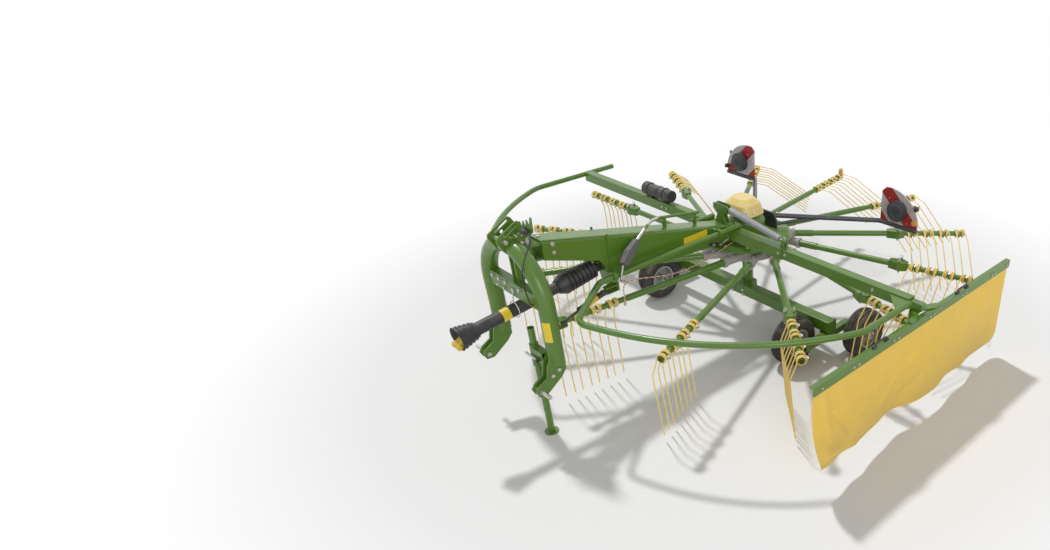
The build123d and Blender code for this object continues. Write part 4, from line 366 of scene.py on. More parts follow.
# ------------------------------------------------------------------- finishes
def rgba(colour: Colour) -> tuple[float, float, float, float]:
    """A colour with full alpha."""
    return (*colour, 1.0)


DUST_COLOUR: Colour = (0.46, 0.41, 0.31)
# painted shade: a near-black colour that stands in for the dark inside of each drilled hole
PAINTED_HOLE_SHADE: Colour = (0.006, 0.006, 0.006)
COAT_ROUGHNESS = 0.16
BUMP_STRENGTH = 0.6


@dataclass(frozen=True)
class Finish:
    """A hard surface: paint, plating, casting, plastic or rubber."""

    name: str
    colour: Colour
    shade: Colour
    bare: Colour = (0.33, 0.31, 0.29)
    roughness: float = 0.42
    metallic: float = 0.0
    coat: float = 0.0
    grain: float = 420.0
    relief: float = 0.0004
    chips: float = 0.02
    dust: float = 0.22
    mottle: float = 0.30

    def base(self, bench: Bench, groups: Groups, worn: Sockets) -> bpy.types.NodeSocket:
        """The colour before wear and dust.

        Args:
            bench: the material's bench.
            groups: the shared node groups.
            worn: the weathering group's outputs in this material.

        Returns:
            The colour's socket.
        """
        return bench.blend(worn["Tint"], rgba(self.colour), rgba(self.shade))

    def build(self, groups: Groups) -> bpy.types.Material:
        """Makes the material.

        Args:
            groups: the shared node groups.

        Returns:
            The material.
        """
        material = bpy.data.materials.new(self.name)
        material.use_nodes = True
        bench = Bench(material.node_tree)
        shader = material.node_tree.nodes["Principled BSDF"]
        worn = bench.use(groups.weathering, Grain=self.grain, Chips=self.chips, Dust=self.dust)
        colour = self.base(bench, groups, worn)
        colour = bench.blend(worn["Chip"], colour, rgba(self.bare))
        colour = bench.blend(worn["Dirt"], colour, rgba(DUST_COLOUR))
        bench.join(colour, shader.inputs["Base Color"])
        rough = bench.math("MULTIPLY_ADD", worn["Gloss"], self.mottle, self.roughness)
        rough = bench.math("MULTIPLY_ADD", worn["Dirt"], 0.5, rough, clamp=True)
        bench.join(rough, shader.inputs["Roughness"])
        shader.inputs["Metallic"].default_value = self.metallic
        shader.inputs["Coat Weight"].default_value = self.coat
        shader.inputs["Coat Roughness"].default_value = COAT_ROUGHNESS
        bump = bench.add("ShaderNodeBump")
        bump.inputs["Strength"].default_value = BUMP_STRENGTH
        bump.inputs["Distance"].default_value = self.relief
        bench.join(self.height(bench, groups, worn), bump.inputs["Height"])
        bench.join(bump.outputs["Normal"], shader.inputs["Normal"])
        return material

    def height(self, bench: Bench, groups: Groups, worn: Sockets) -> bpy.types.NodeSocket:
        """The relief that the bump follows.

        Args:
            bench: the material's bench.
            groups: the shared node groups.
            worn: the weathering group's outputs in this material.

        Returns:
            The height's socket.
        """
        return bench.math("SUBTRACT", worn["Relief"], worn["Chip"])


@dataclass(frozen=True)
class Tarpaulin(Finish):
    """Coated cloth, with threads that show and soil near its hem."""

    threads: float = 420.0
    soil: Colour = (0.42, 0.33, 0.16)

    def base(self, bench: Bench, groups: Groups, worn: Sockets) -> bpy.types.NodeSocket:
        """The cloth's colour, soiled towards the hem. See Finish.base."""
        cloth = bench.use(groups.weave, Threads=self.threads)
        return bench.blend(cloth["Shade"], super().base(bench, groups, worn), rgba(self.soil))

    def height(self, bench: Bench, groups: Groups, worn: Sockets) -> bpy.types.NodeSocket:
        """The threads and the cloth's small creases. See Finish.height."""
        cloth = bench.use(groups.weave, Threads=self.threads)
        return bench.math("MULTIPLY_ADD", worn["Relief"], 1.6, cloth["Relief"])


@dataclass(frozen=True)
class WarningBoard(Finish):
    """Reflecting board with diagonal bars of two colours."""

    second: Colour = (0.62, 0.63, 0.67)
    pitch: float = 0.30
    middle: float = 0.0

    def base(self, bench: Bench, groups: Groups, worn: Sockets) -> bpy.types.NodeSocket:
        """Red and silver bars over a net of small cells. See Finish.base."""
        bars = bench.use(groups.stripes, Pitch=self.pitch, Middle=self.middle)
        plain = bench.blend(bars["Bar"], rgba(self.colour), rgba(self.second))
        cells = bench.math("MULTIPLY_ADD", bars["Cell"], -0.35, 0.35)
        return bench.blend(cells, plain, rgba(self.shade))


@dataclass(frozen=True)
class DrilledTube(Finish):
    """Painted upright tube with a row of drilled holes in its front; the holes are painted shade, near-black
    discs in the colour.
    """

    middle_x: float = 0.0
    first_hole: float = 0.17
    last_hole: float = 0.53
    pitch: float = 0.062
    hole: float = 0.0085

    def base(self, bench: Bench, groups: Groups, worn: Sockets) -> bpy.types.NodeSocket:
        """Paint, with painted shade in a near-black disc where each hole is. See Finish.base."""
        split = bench.axes()
        across = bench.math("SUBTRACT", split["X"], self.middle_x)
        rise = bench.math("SUBTRACT", split["Z"], self.first_hole)
        cell = bench.math("SUBTRACT", bench.math("FRACT", bench.math("DIVIDE", rise, self.pitch)), 0.5)
        away = bench.math("MULTIPLY", cell, self.pitch)
        squares = bench.math(
            "ADD", bench.math("MULTIPLY", across, across), bench.math("MULTIPLY", away, away)
        )
        # painted shade: the mask below puts the near-black hole colour where each hole is
        inside = bench.math("LESS_THAN", squares, self.hole ** 2)
        low = bench.math("GREATER_THAN", split["Z"], self.first_hole)
        high = bench.math("LESS_THAN", split["Z"], self.last_hole)
        hole_shade_mask = bench.math("MULTIPLY", bench.math("MULTIPLY", inside, low), high)
        return bench.blend(hole_shade_mask, super().base(bench, groups, worn), rgba(PAINTED_HOLE_SHADE))


@dataclass(frozen=True)
class LaidRope(Finish):
    """Fibre rope of two yarns."""

    second: Colour = (0.72, 0.60, 0.50)

    def base(self, bench: Bench, groups: Groups, worn: Sockets) -> bpy.types.NodeSocket:
        """Two yarns, strand by strand. See Finish.base."""
        return bench.blend(bench.use(groups.strands)["Strand"], rgba(self.colour), rgba(self.second))

    def height(self, bench: Bench, groups: Groups, worn: Sockets) -> bpy.types.NodeSocket:
        """The strands' rounds. See Finish.height."""
        return bench.use(groups.strands)["Relief"]


class Slot(Enum):
    """The record's material slots."""

    GREEN = "green_paint"
    SLATE = "slate_paint"
    CAST = "cast_grey"
    TINE = "tine_yellow"
    COVER = "cover_cream"
    CURTAIN = "curtain_yellow"
    BRIGHT = "bright_steel"
    SPRING = "spring_grey"
    PLASTIC = "black_plastic"
    GRIP = "grip_grey"
    DAMPER = "damper_black"
    YOKE = "yoke_yellow"
    BOARD = "board_red"
    RIM = "rim_grey"
    TYRE = "tyre_black"
    ROPE = "rope_fibre"


def slot_finishes(middle: float) -> dict[Slot, Finish]:
    """The finish of each slot.

    Args:
        middle: the machine's middle, side to side, in metres.

    Returns:
        A finish for each slot.
    """
    return {
        Slot.GREEN: Finish(
            "green powder coat", (0.095, 0.215, 0.014), (0.07, 0.165, 0.010), coat=0.22, roughness=0.33,
            grain=520.0, relief=0.0003, chips=0.035, dust=0.10,
        ),
        Slot.SLATE: Finish("slate paint", (0.038, 0.043, 0.055), (0.026, 0.030, 0.040), coat=0.2, dust=0.12),
        Slot.CAST: Finish(
            "painted casting", (0.43, 0.41, 0.39), (0.31, 0.30, 0.28), roughness=0.55, grain=240.0,
            relief=0.0012, chips=0.05, dust=0.3,
        ),
        Slot.TINE: Finish(
            "lacquered spring wire", (0.90, 0.69, 0.20), (0.82, 0.60, 0.16), (0.45, 0.36, 0.20),
            roughness=0.38, coat=0.2, chips=0.03, dust=0.08,
        ),
        Slot.COVER: Finish(
            "moulded cream cover", (0.88, 0.70, 0.25), (0.82, 0.63, 0.21), (0.6, 0.5, 0.25), roughness=0.38,
            coat=0.25, grain=900.0, relief=0.0002, chips=0.0, dust=0.18,
        ),
        Slot.CURTAIN: Tarpaulin(
            "coated tarpaulin", (0.93, 0.64, 0.10), (0.85, 0.56, 0.085), (0.6, 0.45, 0.2), roughness=0.55,
            relief=0.0006, chips=0.0, dust=0.25,
        ),
        Slot.BRIGHT: Finish(
            "zinc plate", (0.60, 0.60, 0.58), (0.45, 0.44, 0.42), (0.30, 0.26, 0.22), metallic=0.85,
            roughness=0.36, chips=0.03, dust=0.15, mottle=0.5,
        ),
        Slot.SPRING: Finish(
            "spring steel", (0.44, 0.45, 0.48), (0.30, 0.31, 0.34), (0.3, 0.25, 0.2), metallic=0.55,
            roughness=0.42, chips=0.04, dust=0.12,
        ),
        Slot.PLASTIC: Finish(
            "black guard plastic", (0.022, 0.022, 0.025), (0.035, 0.035, 0.038), (0.05, 0.05, 0.05),
            roughness=0.48, grain=650.0, relief=0.0005, chips=0.0, dust=0.16,
        ),
        Slot.GRIP: Finish(
            "moulded grip", (0.13, 0.13, 0.135), (0.09, 0.09, 0.095), (0.15, 0.15, 0.15), roughness=0.5,
            grain=700.0, relief=0.0006, chips=0.0, dust=0.2,
        ),
        Slot.DAMPER: Finish("satin black paint", (0.028, 0.028, 0.032), (0.02, 0.02, 0.022), coat=0.3),
        Slot.YOKE: Finish(
            "yellow paint", (0.72, 0.52, 0.03), (0.60, 0.42, 0.03), roughness=0.4, coat=0.2, chips=0.06,
        ),
        Slot.BOARD: WarningBoard(
            "reflecting board", (0.40, 0.012, 0.008), (0.26, 0.02, 0.02), roughness=0.5, coat=0.05,
            chips=0.0, dust=0.12, middle=middle,
        ),
        Slot.RIM: Finish(
            "silver rim paint", (0.46, 0.47, 0.48), (0.36, 0.37, 0.38), metallic=0.35, roughness=0.42,
            chips=0.03, dust=0.3,
        ),
        Slot.TYRE: Finish(
            "tyre rubber", (0.028, 0.028, 0.029), (0.045, 0.044, 0.042), (0.07, 0.068, 0.065),
            roughness=0.72, grain=300.0, relief=0.0009, chips=0.02, dust=0.35,
        ),
        Slot.ROPE: LaidRope(
            "laid rope", (0.62, 0.20, 0.10), (0.5, 0.2, 0.1), (0.5, 0.3, 0.2), roughness=0.8,
            relief=0.0012, chips=0.0, dust=0.2,
        ),
    }


EXTRA_FINISHES = {
    "lamp_grey": Finish(
        "lamp housing", (0.055, 0.058, 0.068), (0.04, 0.042, 0.05), roughness=0.45, grain=650.0,
        chips=0.0, dust=0.05,
    ),
    "yellow": Finish("yellow film", (0.83, 0.62, 0.02), (0.76, 0.55, 0.02), roughness=0.35, chips=0.0),
    "amber": Finish(
        "amber reflector", (0.84, 0.34, 0.02), (0.72, 0.26, 0.01), roughness=0.18, coat=0.8, grain=260.0,
        relief=0.0016, chips=0.0, dust=0.05,
    ),
    "red": Finish(
        "red lens", (0.42, 0.01, 0.012), (0.30, 0.008, 0.01), roughness=0.16, coat=0.8, grain=260.0,
        relief=0.0016, chips=0.0, dust=0.05,
    ),
}


class Palette:
    """Every material, built once."""

    def __init__(self, machine: Machine) -> None:
        """Builds the materials.

        Args:
            machine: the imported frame.
        """
        groups = Groups()
        finishes = slot_finishes(machine.axis.x)
        self.slots = {slot: finish.build(groups) for slot, finish in finishes.items()}
        self.extra = {name: finish.build(groups) for name, finish in EXTRA_FINISHES.items()}
        paint = finishes[Slot.GREEN]
        leg = DrilledTube(
            "drilled jack leg", paint.colour, paint.shade, coat=paint.coat, roughness=paint.roughness,
            chips=0.05, middle_x=sum(corner.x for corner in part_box("jack_leg")) / 2,
        )
        self.jack_leg = leg.build(groups)

    def dress_nodes(self, machine: Machine) -> None:
        """Gives each node of the frame the material of its slot.

        Args:
            machine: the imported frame.
        """
        for part in machine.record["subparts"]:
            node = machine.nodes[part["node"]]
            node.data.materials.clear()
            node.data.materials.append(self.slots[Slot(part["material_slot"])])
        machine.nodes["jack_leg"].data.materials[0] = self.jack_leg


# ------------------------------------------------------------------ modelling
def clear_selection() -> None:
    """Leaves edit mode and selects nothing."""
    if bpy.context.object and bpy.context.object.mode != "OBJECT":
        bpy.ops.object.mode_set(mode="OBJECT")
    bpy.ops.object.select_all(action="DESELECT")


class Work:
    """One piece on the bench: a primitive that edit-mode operators shape."""

    def __init__(self, name: str) -> None:
        """Takes the active object, which a primitive operator has just made.

        Args:
            name: the piece's name.
        """
        self.body = bpy.context.object
        self.body.name = name
        bpy.ops.object.transform_apply(location=True, rotation=True, scale=True)

    @classmethod
    def rod(cls, name: str, radius: float, length: float, sides: int = 24) -> Work:
        """A round blank that stands on the origin along Z.

        Args:
            name: the piece's name.
            radius: metres.
            length: metres.
            sides: how many flats it has.

        Returns:
            The piece.
        """
        clear_selection()
        bpy.ops.mesh.primitive_cylinder_add(
            vertices=sides, radius=radius, depth=length, location=(0, 0, length / 2)
        )
        return cls(name)

    @classmethod
    def block(cls, name: str, size: Vector, middle: Vector = Vector()) -> Work:
        """A rectangular blank.

        Args:
            name: the piece's name.
            size: metres along X, Y and Z.
            middle: where its middle stands.

        Returns:
            The piece.
        """
        clear_selection()
        bpy.ops.mesh.primitive_cube_add(size=1, location=middle, scale=size)
        return cls(name)

    @classmethod
    def ring(cls, name: str, radius: float, thickness: float, segments: int = 48, sides: int = 12) -> Work:
        """A round ring about Z.

        Args:
            name: the piece's name.
            radius: metres to the middle of its section.
            thickness: radius of its section.
            segments: steps round the ring.
            sides: steps round the section.

        Returns:
            The piece.
        """
        clear_selection()
        bpy.ops.mesh.primitive_torus_add(
            major_radius=radius, minor_radius=thickness, major_segments=segments, minor_segments=sides
        )
        return cls(name)

    def forget(self) -> bpy.types.Mesh:
        """Clears every selection flag of the mesh and returns it."""
        clear_selection()
        bpy.context.view_layer.objects.active = self.body
        self.body.select_set(True)
        mesh = self.body.data
        for group in (mesh.vertices, mesh.edges, mesh.polygons):
            group.foreach_set("select", [False] * len(group))
        return mesh

    def faces(self, test: Callable[[Vector, Vector], bool]) -> Work:
        """Selects faces.

        Args:
            test: takes a face's middle and normal.

        Returns:
            The piece, in edit mode.
        """
        mesh = self.forget()
        for face in mesh.polygons:
            face.select = test(face.center, face.normal)
        bpy.context.tool_settings.mesh_select_mode = (False, False, True)
        bpy.ops.object.mode_set(mode="EDIT")
        return self

    def top(self) -> Work:
        """Selects the faces that look up Z."""
        return self.faces(lambda middle, normal: normal.z > 0.9)

    def inset(self, thickness: float, depth: float = 0.0) -> Work:
        """Insets the selected faces, and sinks or raises them."""
        bpy.ops.mesh.inset(thickness=thickness, depth=depth)
        return self

    def extrude(self, move: Vector) -> Work:
        """Extrudes the selected faces along a move."""
        bpy.ops.mesh.extrude_region_move(TRANSFORM_OT_translate={"value": move})
        return self

    def resize(self, scale: Vector) -> Work:
        """Resizes what is selected about its middle."""
        bpy.ops.transform.resize(value=scale)
        return self

    def round_all(self, width: float, segments: int = 2, sharp: float = 30.0) -> Work:
        """Rounds every sharp edge of the piece with an applied modifier.

        Args:
            width: metres.
            segments: steps across the round.
            sharp: edges that turn more than this many degrees are rounded.

        Returns:
            The piece.
        """
        self.forget()
        bevel = self.body.modifiers.new("round", "BEVEL")
        bevel.width = width
        bevel.segments = segments
        bevel.limit_method = "ANGLE"
        bevel.angle_limit = math.radians(sharp)
        bpy.ops.object.modifier_apply(modifier=bevel.name)
        return self

    def thicken(self, thickness: float) -> Work:
        """Gives a sheet its thickness in millimetres, half to each side."""
        solid = self.body.modifiers.new("thicken", "SOLIDIFY")
        solid.thickness = thickness * MM
        solid.offset = 0.0
        self.forget()
        bpy.ops.object.modifier_apply(modifier=solid.name)
        return self

    def done(self, smooth: float = 35.0) -> bpy.types.Object:
        """Closes edit mode and shades the piece.

        Args:
            smooth: edges that turn less than this many degrees shade smoothly.

        Returns:
            The finished object.
        """
        self.forget()
        bpy.ops.object.shade_smooth_by_angle(angle=math.radians(smooth))
        return self.body


def aim(place: Vector, direction: Vector, roll: float = 0.0) -> Matrix:
    """A turn that lays Z along a direction, then a move.

    Args:
        place: where the origin goes.
        direction: where Z points.
        roll: degrees about Z first.

    Returns:
        The matrix.
    """
    turn = direction.to_track_quat("Z", "Y").to_matrix().to_4x4()
    return Matrix.Translation(place) @ turn @ Matrix.Rotation(math.radians(roll), 4, "Z")


def strike(pattern: bpy.types.Object, places: Iterable[Matrix], name: str) -> bpy.types.Object:
    """Copies a pattern to each place and joins the copies.

    Args:
        pattern: the piece to copy, which is used up.
        places: where each copy goes.
        name: the joined piece's name.

    Returns:
        The joined piece.
    """
    clear_selection()
    copies = []
    for place in places:
        copy = bpy.data.objects.new(name, pattern.data.copy())
        copy.data.transform(place)
        bpy.context.scene.collection.objects.link(copy)
        copies.append(copy)
    bpy.data.objects.remove(pattern)
    return weld(copies, name)


def weld(pieces: list[bpy.types.Object], name: str) -> bpy.types.Object:
    """Joins pieces into one object.

    Args:
        pieces: the pieces, of which the first stays.
        name: the joined piece's name.

    Returns:
        The joined piece.
    """
    clear_selection()
    for piece in pieces:
        piece.select_set(True)
    bpy.context.view_layer.objects.active = pieces[0]
    if len(pieces) > 1:
        bpy.ops.object.join()
    pieces[0].name = name
    pieces[0].data.name = name
    return pieces[0]


class Fitter:
    """Dresses finished pieces and hangs them on their bodies."""

    def __init__(self, palette: Palette) -> None:
        """Keeps the materials."""
        self.palette = palette

    def fit(
        self, piece: bpy.types.Object, body: str, slot: Slot, extra: str = "", replaces: Iterable[str] = ()
    ) -> bpy.types.Object:
        """Gives a piece its material and its body.

        Args:
            piece: the finished piece.
            body: the body that it rides on.
            slot: the record's slot that it belongs to.
            extra: a finish of its own, where the slot's isn't right.
            replaces: the nodes that it stands for.

        Returns:
            The piece.
        """
        piece.data.materials.clear()
        piece.data.materials.append(self.palette.extra[extra] if extra else self.palette.slots[slot])
        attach(piece, body)
        nodes = tuple(replaces)
        if nodes:
            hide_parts(*nodes)
        LOG.info("%s on %s, %s", piece.name, body, piece.type.lower())
        return piece


@dataclass
class HexBolt:
    """A hexagon head on its washer, modelled at a size of one millimetre across the flats."""

    across_flats: float = 1.0
    flats_to_radius: float = 1.732
    head: float = 0.42
    washer: float = 1.16
    washer_height: float = 0.12

    def pattern(self) -> bpy.types.Object:
        """Models the bolt's head.

        Returns:
            The piece, which stands on the origin along Z.
        """
        disc = Work.rod("bolt_pattern", self.washer / 2 * MM, self.washer_height * MM, 12)
        disc = disc.top().inset(0.02 * MM).done()
        head = Work.rod("bolt_head", self.across_flats / self.flats_to_radius * MM, self.head * MM, 6)
        head = head.top().inset(0.07 * MM, 0.05 * MM).done()
        head.data.transform(Matrix.Translation((0, 0, self.washer_height * MM)))
        return weld([disc, head], "bolt_pattern")


class BoltRack:
    """Collects where bolts go, and strikes them body by body."""

    def __init__(self) -> None:
        """Starts with no bolts."""
        self.places: dict[str, list[Matrix]] = {}

    def put(self, body: str, place: Vector, direction: Vector, size: float) -> None:
        """Notes one bolt.

        Args:
            body: the body that carries it.
            place: where its washer sits.
            direction: where its head points.
            size: millimetres across its flats.
        """
        roll = (len(self.places.get(body, [])) * 37) % 60
        self.places.setdefault(body, []).append(aim(place, direction, roll) @ Matrix.Scale(size, 4))

    def build(self, fitter: Fitter) -> None:
        """Strikes the bolts.

        Args:
            fitter: dresses the joined pieces.
        """
        for body, places in self.places.items():
            piece = strike(HexBolt().pattern(), places, f"bolts_{body}")
            fitter.fit(piece, body, Slot.BRIGHT)


# ------------------------------------------------------------- sub-assemblies
@dataclass
class Assembly:
    """A sub-assembly of the machine, and what it is built on and with."""

    machine: Machine
    fitter: Fitter
    bolts: BoltRack

    def mount(
        self, piece: bpy.types.Object, place: Matrix, body: str, slot: Slot, **dress: object
    ) -> bpy.types.Object:
        """Moves a finished piece from the origin to its place and dresses it.

        Args:
            piece: the finished piece.
            place: where it goes.
            body: the body that it rides on.
            slot: the record's slot that it belongs to.
            dress: see Fitter.fit.

        Returns:
            The piece.
        """
        piece.data.transform(place)
        return self.fitter.fit(piece, body, slot, **dress)


def wire(points: Iterable[Vector], radius: float, name: str, sides: int = 2) -> bpy.types.Object:
    """A round wire along close points, as a mesh.

    Args:
        points: places along the wire, in metres.
        radius: the wire's radius in millimetres.
        name: the piece's name.
        sides: the bevel's resolution.

    Returns:
        The meshed wire.
    """
    clear_selection()
    piece = line(name, "POLY", radius, sides, list(points))
    piece.select_set(True)
    bpy.context.view_layer.objects.active = piece
    bpy.ops.object.convert(target="MESH")
    piece = bpy.context.object
    bpy.ops.object.shade_smooth_by_angle(angle=math.radians(40))
    return piece


def line(name: str, kind: str, radius: float, sides: int, points: list[Vector]) -> bpy.types.Object:
    """A round curve through or near its points.

    Args:
        name: the piece's name.
        kind: the spline's type.
        radius: the curve's radius in millimetres.
        sides: the bevel's resolution.
        points: places along the curve, in metres.

    Returns:
        The curve.
    """
    curve = bpy.data.curves.new(name, "CURVE")
    curve.dimensions = "3D"
    curve.bevel_depth = radius * MM
    curve.bevel_resolution = sides
    curve.use_fill_caps = True
    spline = curve.splines.new(kind)
    spline.points.add(len(points) - 1)
    for knot, place in zip(spline.points, points):
        knot.co = (*place, 1.0)
    piece = bpy.data.objects.new(name, curve)
    bpy.context.scene.collection.objects.link(piece)
    return piece


def rounded(points: list[Vector], corner: float, steps: int = 4) -> list[Vector]:
    """Rounds the corners of an open run of wire.

    Args:
        points: the corners.
        corner: how far before and after a corner its round reaches, in millimetres.
        steps: places along each round.

    Returns:
        The places along the wire.
    """
    result = [points[0]]
    for before, here, after in zip(points, points[1:], points[2:]):
        start = here + (before - here).normalized() * corner * MM
        end = here + (after - here).normalized() * corner * MM
        for step in range(steps + 1):
            share = step / steps
            result.append(start.lerp(here, share).lerp(here.lerp(end, share), share))
    result.append(points[-1])
    return result


# ---------------------------------------------------------------------- cords
@dataclass(frozen=True)
class Cord:
    """A limp cord with its own route, in machine millimetres."""

    name: str
    route: tuple[Place, ...]
    length: float
    body: str
    slot: Slot
    far_end: str
    with_node: str
    diameter: float = 8.0


PULL_ROPE = Cord(
    name="pull_rope",
    route=(
        (104.0, -206.5, 825.9), (107.0, -238.0, 803.0), (111.0, -292.0, 789.0), (117.0, -372.0, 777.0),
        (125.0, -470.0, 764.0), (134.0, -578.0, 756.0), (143.0, -690.0, 752.0), (151.0, -798.0, 757.0),
        (160.0, -905.0, 770.0), (168.0, -1008.0, 791.0), (175.0, -1108.0, 818.0), (183.0, -1204.0, 849.0),
        (191.0, -1290.0, 873.0), (200.5, -1350.0, 882.0), (200.7, -1388.0, 880.0), (201.5, -1408.0, 860.0),
        (202.5, -1413.0, 822.0), (204.0, -1409.0, 778.0), (203.5, -1412.0, 740.0),
    ),
    length=1352.0, body="frame", slot=Slot.ROPE, far_end="knot", with_node="rope_knot",
)
LIGHT_CABLE = Cord(
    name="light_cable",
    route=(
        (225.0, -2095.3, 1008.0), (225.0, -2105.0, 1008.0), (225.2, -2110.0, 1015.0),
        (224.5, -2115.0, 1028.0), (223.0, -2117.0, 1050.0), (221.0, -2122.0, 1086.0),
        (220.0, -2129.0, 1132.0), (224.0, -2133.0, 1182.0), (231.0, -2131.0, 1232.0),
        (240.0, -2122.0, 1276.0), (248.0, -2108.0, 1318.0), (258.0, -2092.0, 1358.0),
        (269.0, -2077.0, 1395.0), (274.0, -2064.0, 1426.0), (269.0, -2054.0, 1451.0),
        (257.0, -2047.3, 1467.0), (236.0, -2046.3, 1470.0),
    ),
    length=512.0, body="headstock", slot=Slot.PLASTIC, far_end="plug", with_node="cable_plug",
)


@dataclass
class Cords(Assembly):
    """The guard's pull rope and the light cable."""

    cords: tuple[Cord, ...] = (PULL_ROPE, LIGHT_CABLE)

    def build(self) -> None:
        """Lays each cord along its route."""
        for cord in self.cords:
            places = [self.machine.at(*place) for place in cord.route]
            laid = line(f"{cord.name}_line", "NURBS", cord.diameter / 2, 4, places)
            laid.data.resolution_u = 10
            spline = laid.data.splines[0]
            spline.order_u = 3
            spline.use_endpoint_u = True
            self.fitter.fit(laid, cord.body, cord.slot, replaces=[cord.name])


# -------------------------------------------------------------- wound springs
@dataclass
class TineRotor(Assembly):
    """The rotor's arms: where they run, and the wound tines, clamps and pins on them."""

    lifts: tuple[float, ...] = (0, 14, 58, 64, 66, 68, 62, 38, 8, 0, 0, 0, 0)
    folding: tuple[int, ...] = (0, 1, 2, 3, 7, 8)
    first_angle: float = -40.5
    arm_offset: float = 185.0
    arm_height: float = 672.0
    last_tine: float = 1808.0
    tine_pitch: float = 136.0
    tines: int = 4
    fold_at: float = 1276.0
    fold_sides: tuple[float, float] = (30.0, -30.0)
    plug_at: float = 1838.0
    bead_at: float = 552.0
    socket_bolts: tuple[float, float] = (315.0, 352.0)
    socket_od: float = 66.0
    tip_radius: float = 21.0
    bolt_size: float = 17.0
    wire_radius: float = 4.7
    coil_radius: float = 31.0
    coil_steps: int = 36
    bow_reach: float = 13.0
    turn_pitch: float = 9.7
    turns: float = 2.5
    elbow: tuple[float, float] = (74.0, 148.0)
    tip: tuple[float, float] = (30.0, 620.0)
    bend: float = 11.0

    def arm(self, index: int) -> tuple[Vector, Vector, Vector]:
        """An arm's foot, its outward run and the way that it turns.

        Args:
            index: the arm's number.

        Returns:
            The foot in metres and two unit directions.
        """
        angle = math.radians(self.first_angle + index * 360 / len(self.lifts))
        outward = Vector((math.cos(angle), math.sin(angle), 0))
        leading = Vector((-math.sin(angle), math.cos(angle), 0))
        return self.machine.at(0, 0, self.arm_height) + leading * self.arm_offset * MM, outward, leading

    def tine_places(self) -> list[Matrix]:
        """Where each double tine sits: X back, Y down, Z along the arm.

        Returns:
            A matrix for each double tine.
        """
        places = []
        for index, lift in enumerate(self.lifts):
            foot, outward, leading = self.arm(index)
            raised = math.radians(lift)
            back = leading * -math.cos(raised) + UP * math.sin(raised)
            turn = Matrix((back, outward.cross(back), outward)).transposed().to_4x4()
            for number in range(self.tines):
                along = (self.last_tine - number * self.tine_pitch) * MM
                places.append(Matrix.Translation(foot + outward * along) @ turn)
        return places

    def tine_pattern(self) -> bpy.types.Object:
        """One double tine of a single wire: prong, coil, bow, coil, prong.

        Returns:
            The piece, with its coils about Z.
        """
        half = []
        for step in range(self.coil_steps + 1):
            share = step / self.coil_steps
            angle = math.tau * self.turns * (1 - share)
            height = self.bow_reach + self.turn_pitch * self.turns * share
            around = (math.cos(angle) * self.coil_radius, -math.sin(angle) * self.coil_radius)
            half.append(Vector((*around, height)) * MM)
        outer = half[-1].z / MM
        corners = ((self.coil_radius + 1, 22), self.elbow, self.tip)
        prong = half[-1:] + [Vector((*corner, outer)) * MM for corner in corners]
        half += rounded(prong, self.bend)[1:]
        mirrored = [Vector((place.x, place.y, -place.z)) for place in reversed(half)]
        return wire(mirrored + half, self.wire_radius, "double_tine", sides=1)

    def clamp_pattern(self) -> bpy.types.Object:
        """The saddle and bolt that hold a double tine's bow on the arm.

        Returns:
            The piece, in the tine's own frame.
        """
        saddle = Work.block("clamp", Vector((9, 26, 22)) * MM, LEFT * (-self.coil_radius - 4) * MM)
        saddle.faces(lambda middle, normal: normal.x < -0.9)
        parts = [saddle.inset(4 * MM, 3 * MM).round_all(1.5 * MM).done()]
        for reach, way in ((-self.coil_radius - 10, RIGHT), (self.tip_radius, LEFT)):
            head = HexBolt().pattern()
            head.data.transform(aim(LEFT * reach * MM, way) @ Matrix.Scale(self.bolt_size, 4))
            parts.append(head)
        return weld(parts, "clamp_pattern")

    def fold_pin_pattern(self) -> bpy.types.Object:
        """The drop-nose pin of a folding bracket, with its spring ring.

        Returns:
            The piece, along Z through the origin.
        """
        shank = Work.rod("pin", 7 * MM, 104 * MM, 16).top()
        pin = shank.inset(2 * MM, 2 * MM).extrude(UP * 5 * MM).done()
        pin.data.transform(Matrix.Translation(UP * -52 * MM))
        ring = Work.ring("pin_ring", 15 * MM, 1.6 * MM, 24, 6).done()
        ring.data.transform(aim(Vector((0, 6, 58)) * MM, Vector((0, 1, 0.3))))
        return weld([pin, ring], "fold_pin")

    def build(self) -> None:
        """Builds the tines, the clamps, the pins and the arms' end pieces."""
        places = self.tine_places()
        tines = strike(self.tine_pattern(), places, "wound_tines")
        self.fitter.fit(tines, "rotor", Slot.TINE, replaces=["spring_tines"])
        self.fitter.fit(strike(self.clamp_pattern(), places, "tine_clamps"), "rotor", Slot.BRIGHT)
        pins, plugs, beads = [], [], []
        for index in range(len(self.lifts)):
            foot, outward, leading = self.arm(index)
            if index in self.folding:
                hinge = foot + outward * self.fold_at * MM
                pins += [aim(hinge + leading * side * MM, UP) for side in self.fold_sides]
            plugs.append(aim(foot + outward * self.plug_at * MM, outward))
            beads.append(aim(foot + outward * self.bead_at * MM, outward))
            for along in self.socket_bolts:
                place = foot + outward * along * MM + UP * self.socket_od / 2 * MM
                self.bolts.put("rotor", place, UP, self.bolt_size)
        plug = Work.rod("plug", 15.5 * MM, 6 * MM, 20).top().inset(3 * MM, -2 * MM)
        bead = Work.ring("collar", 25.5 * MM, 3.4 * MM, 32, 8)
        for pattern, spots, name, slot in (
            (self.fold_pin_pattern(), pins, "fold_pins", Slot.BRIGHT),
            (plug.done(), plugs, "arm_plugs", Slot.PLASTIC),
            (bead.done(), beads, "sleeve_beads", Slot.GREEN),
        ):
            self.fitter.fit(strike(pattern, spots, name), "rotor", slot)


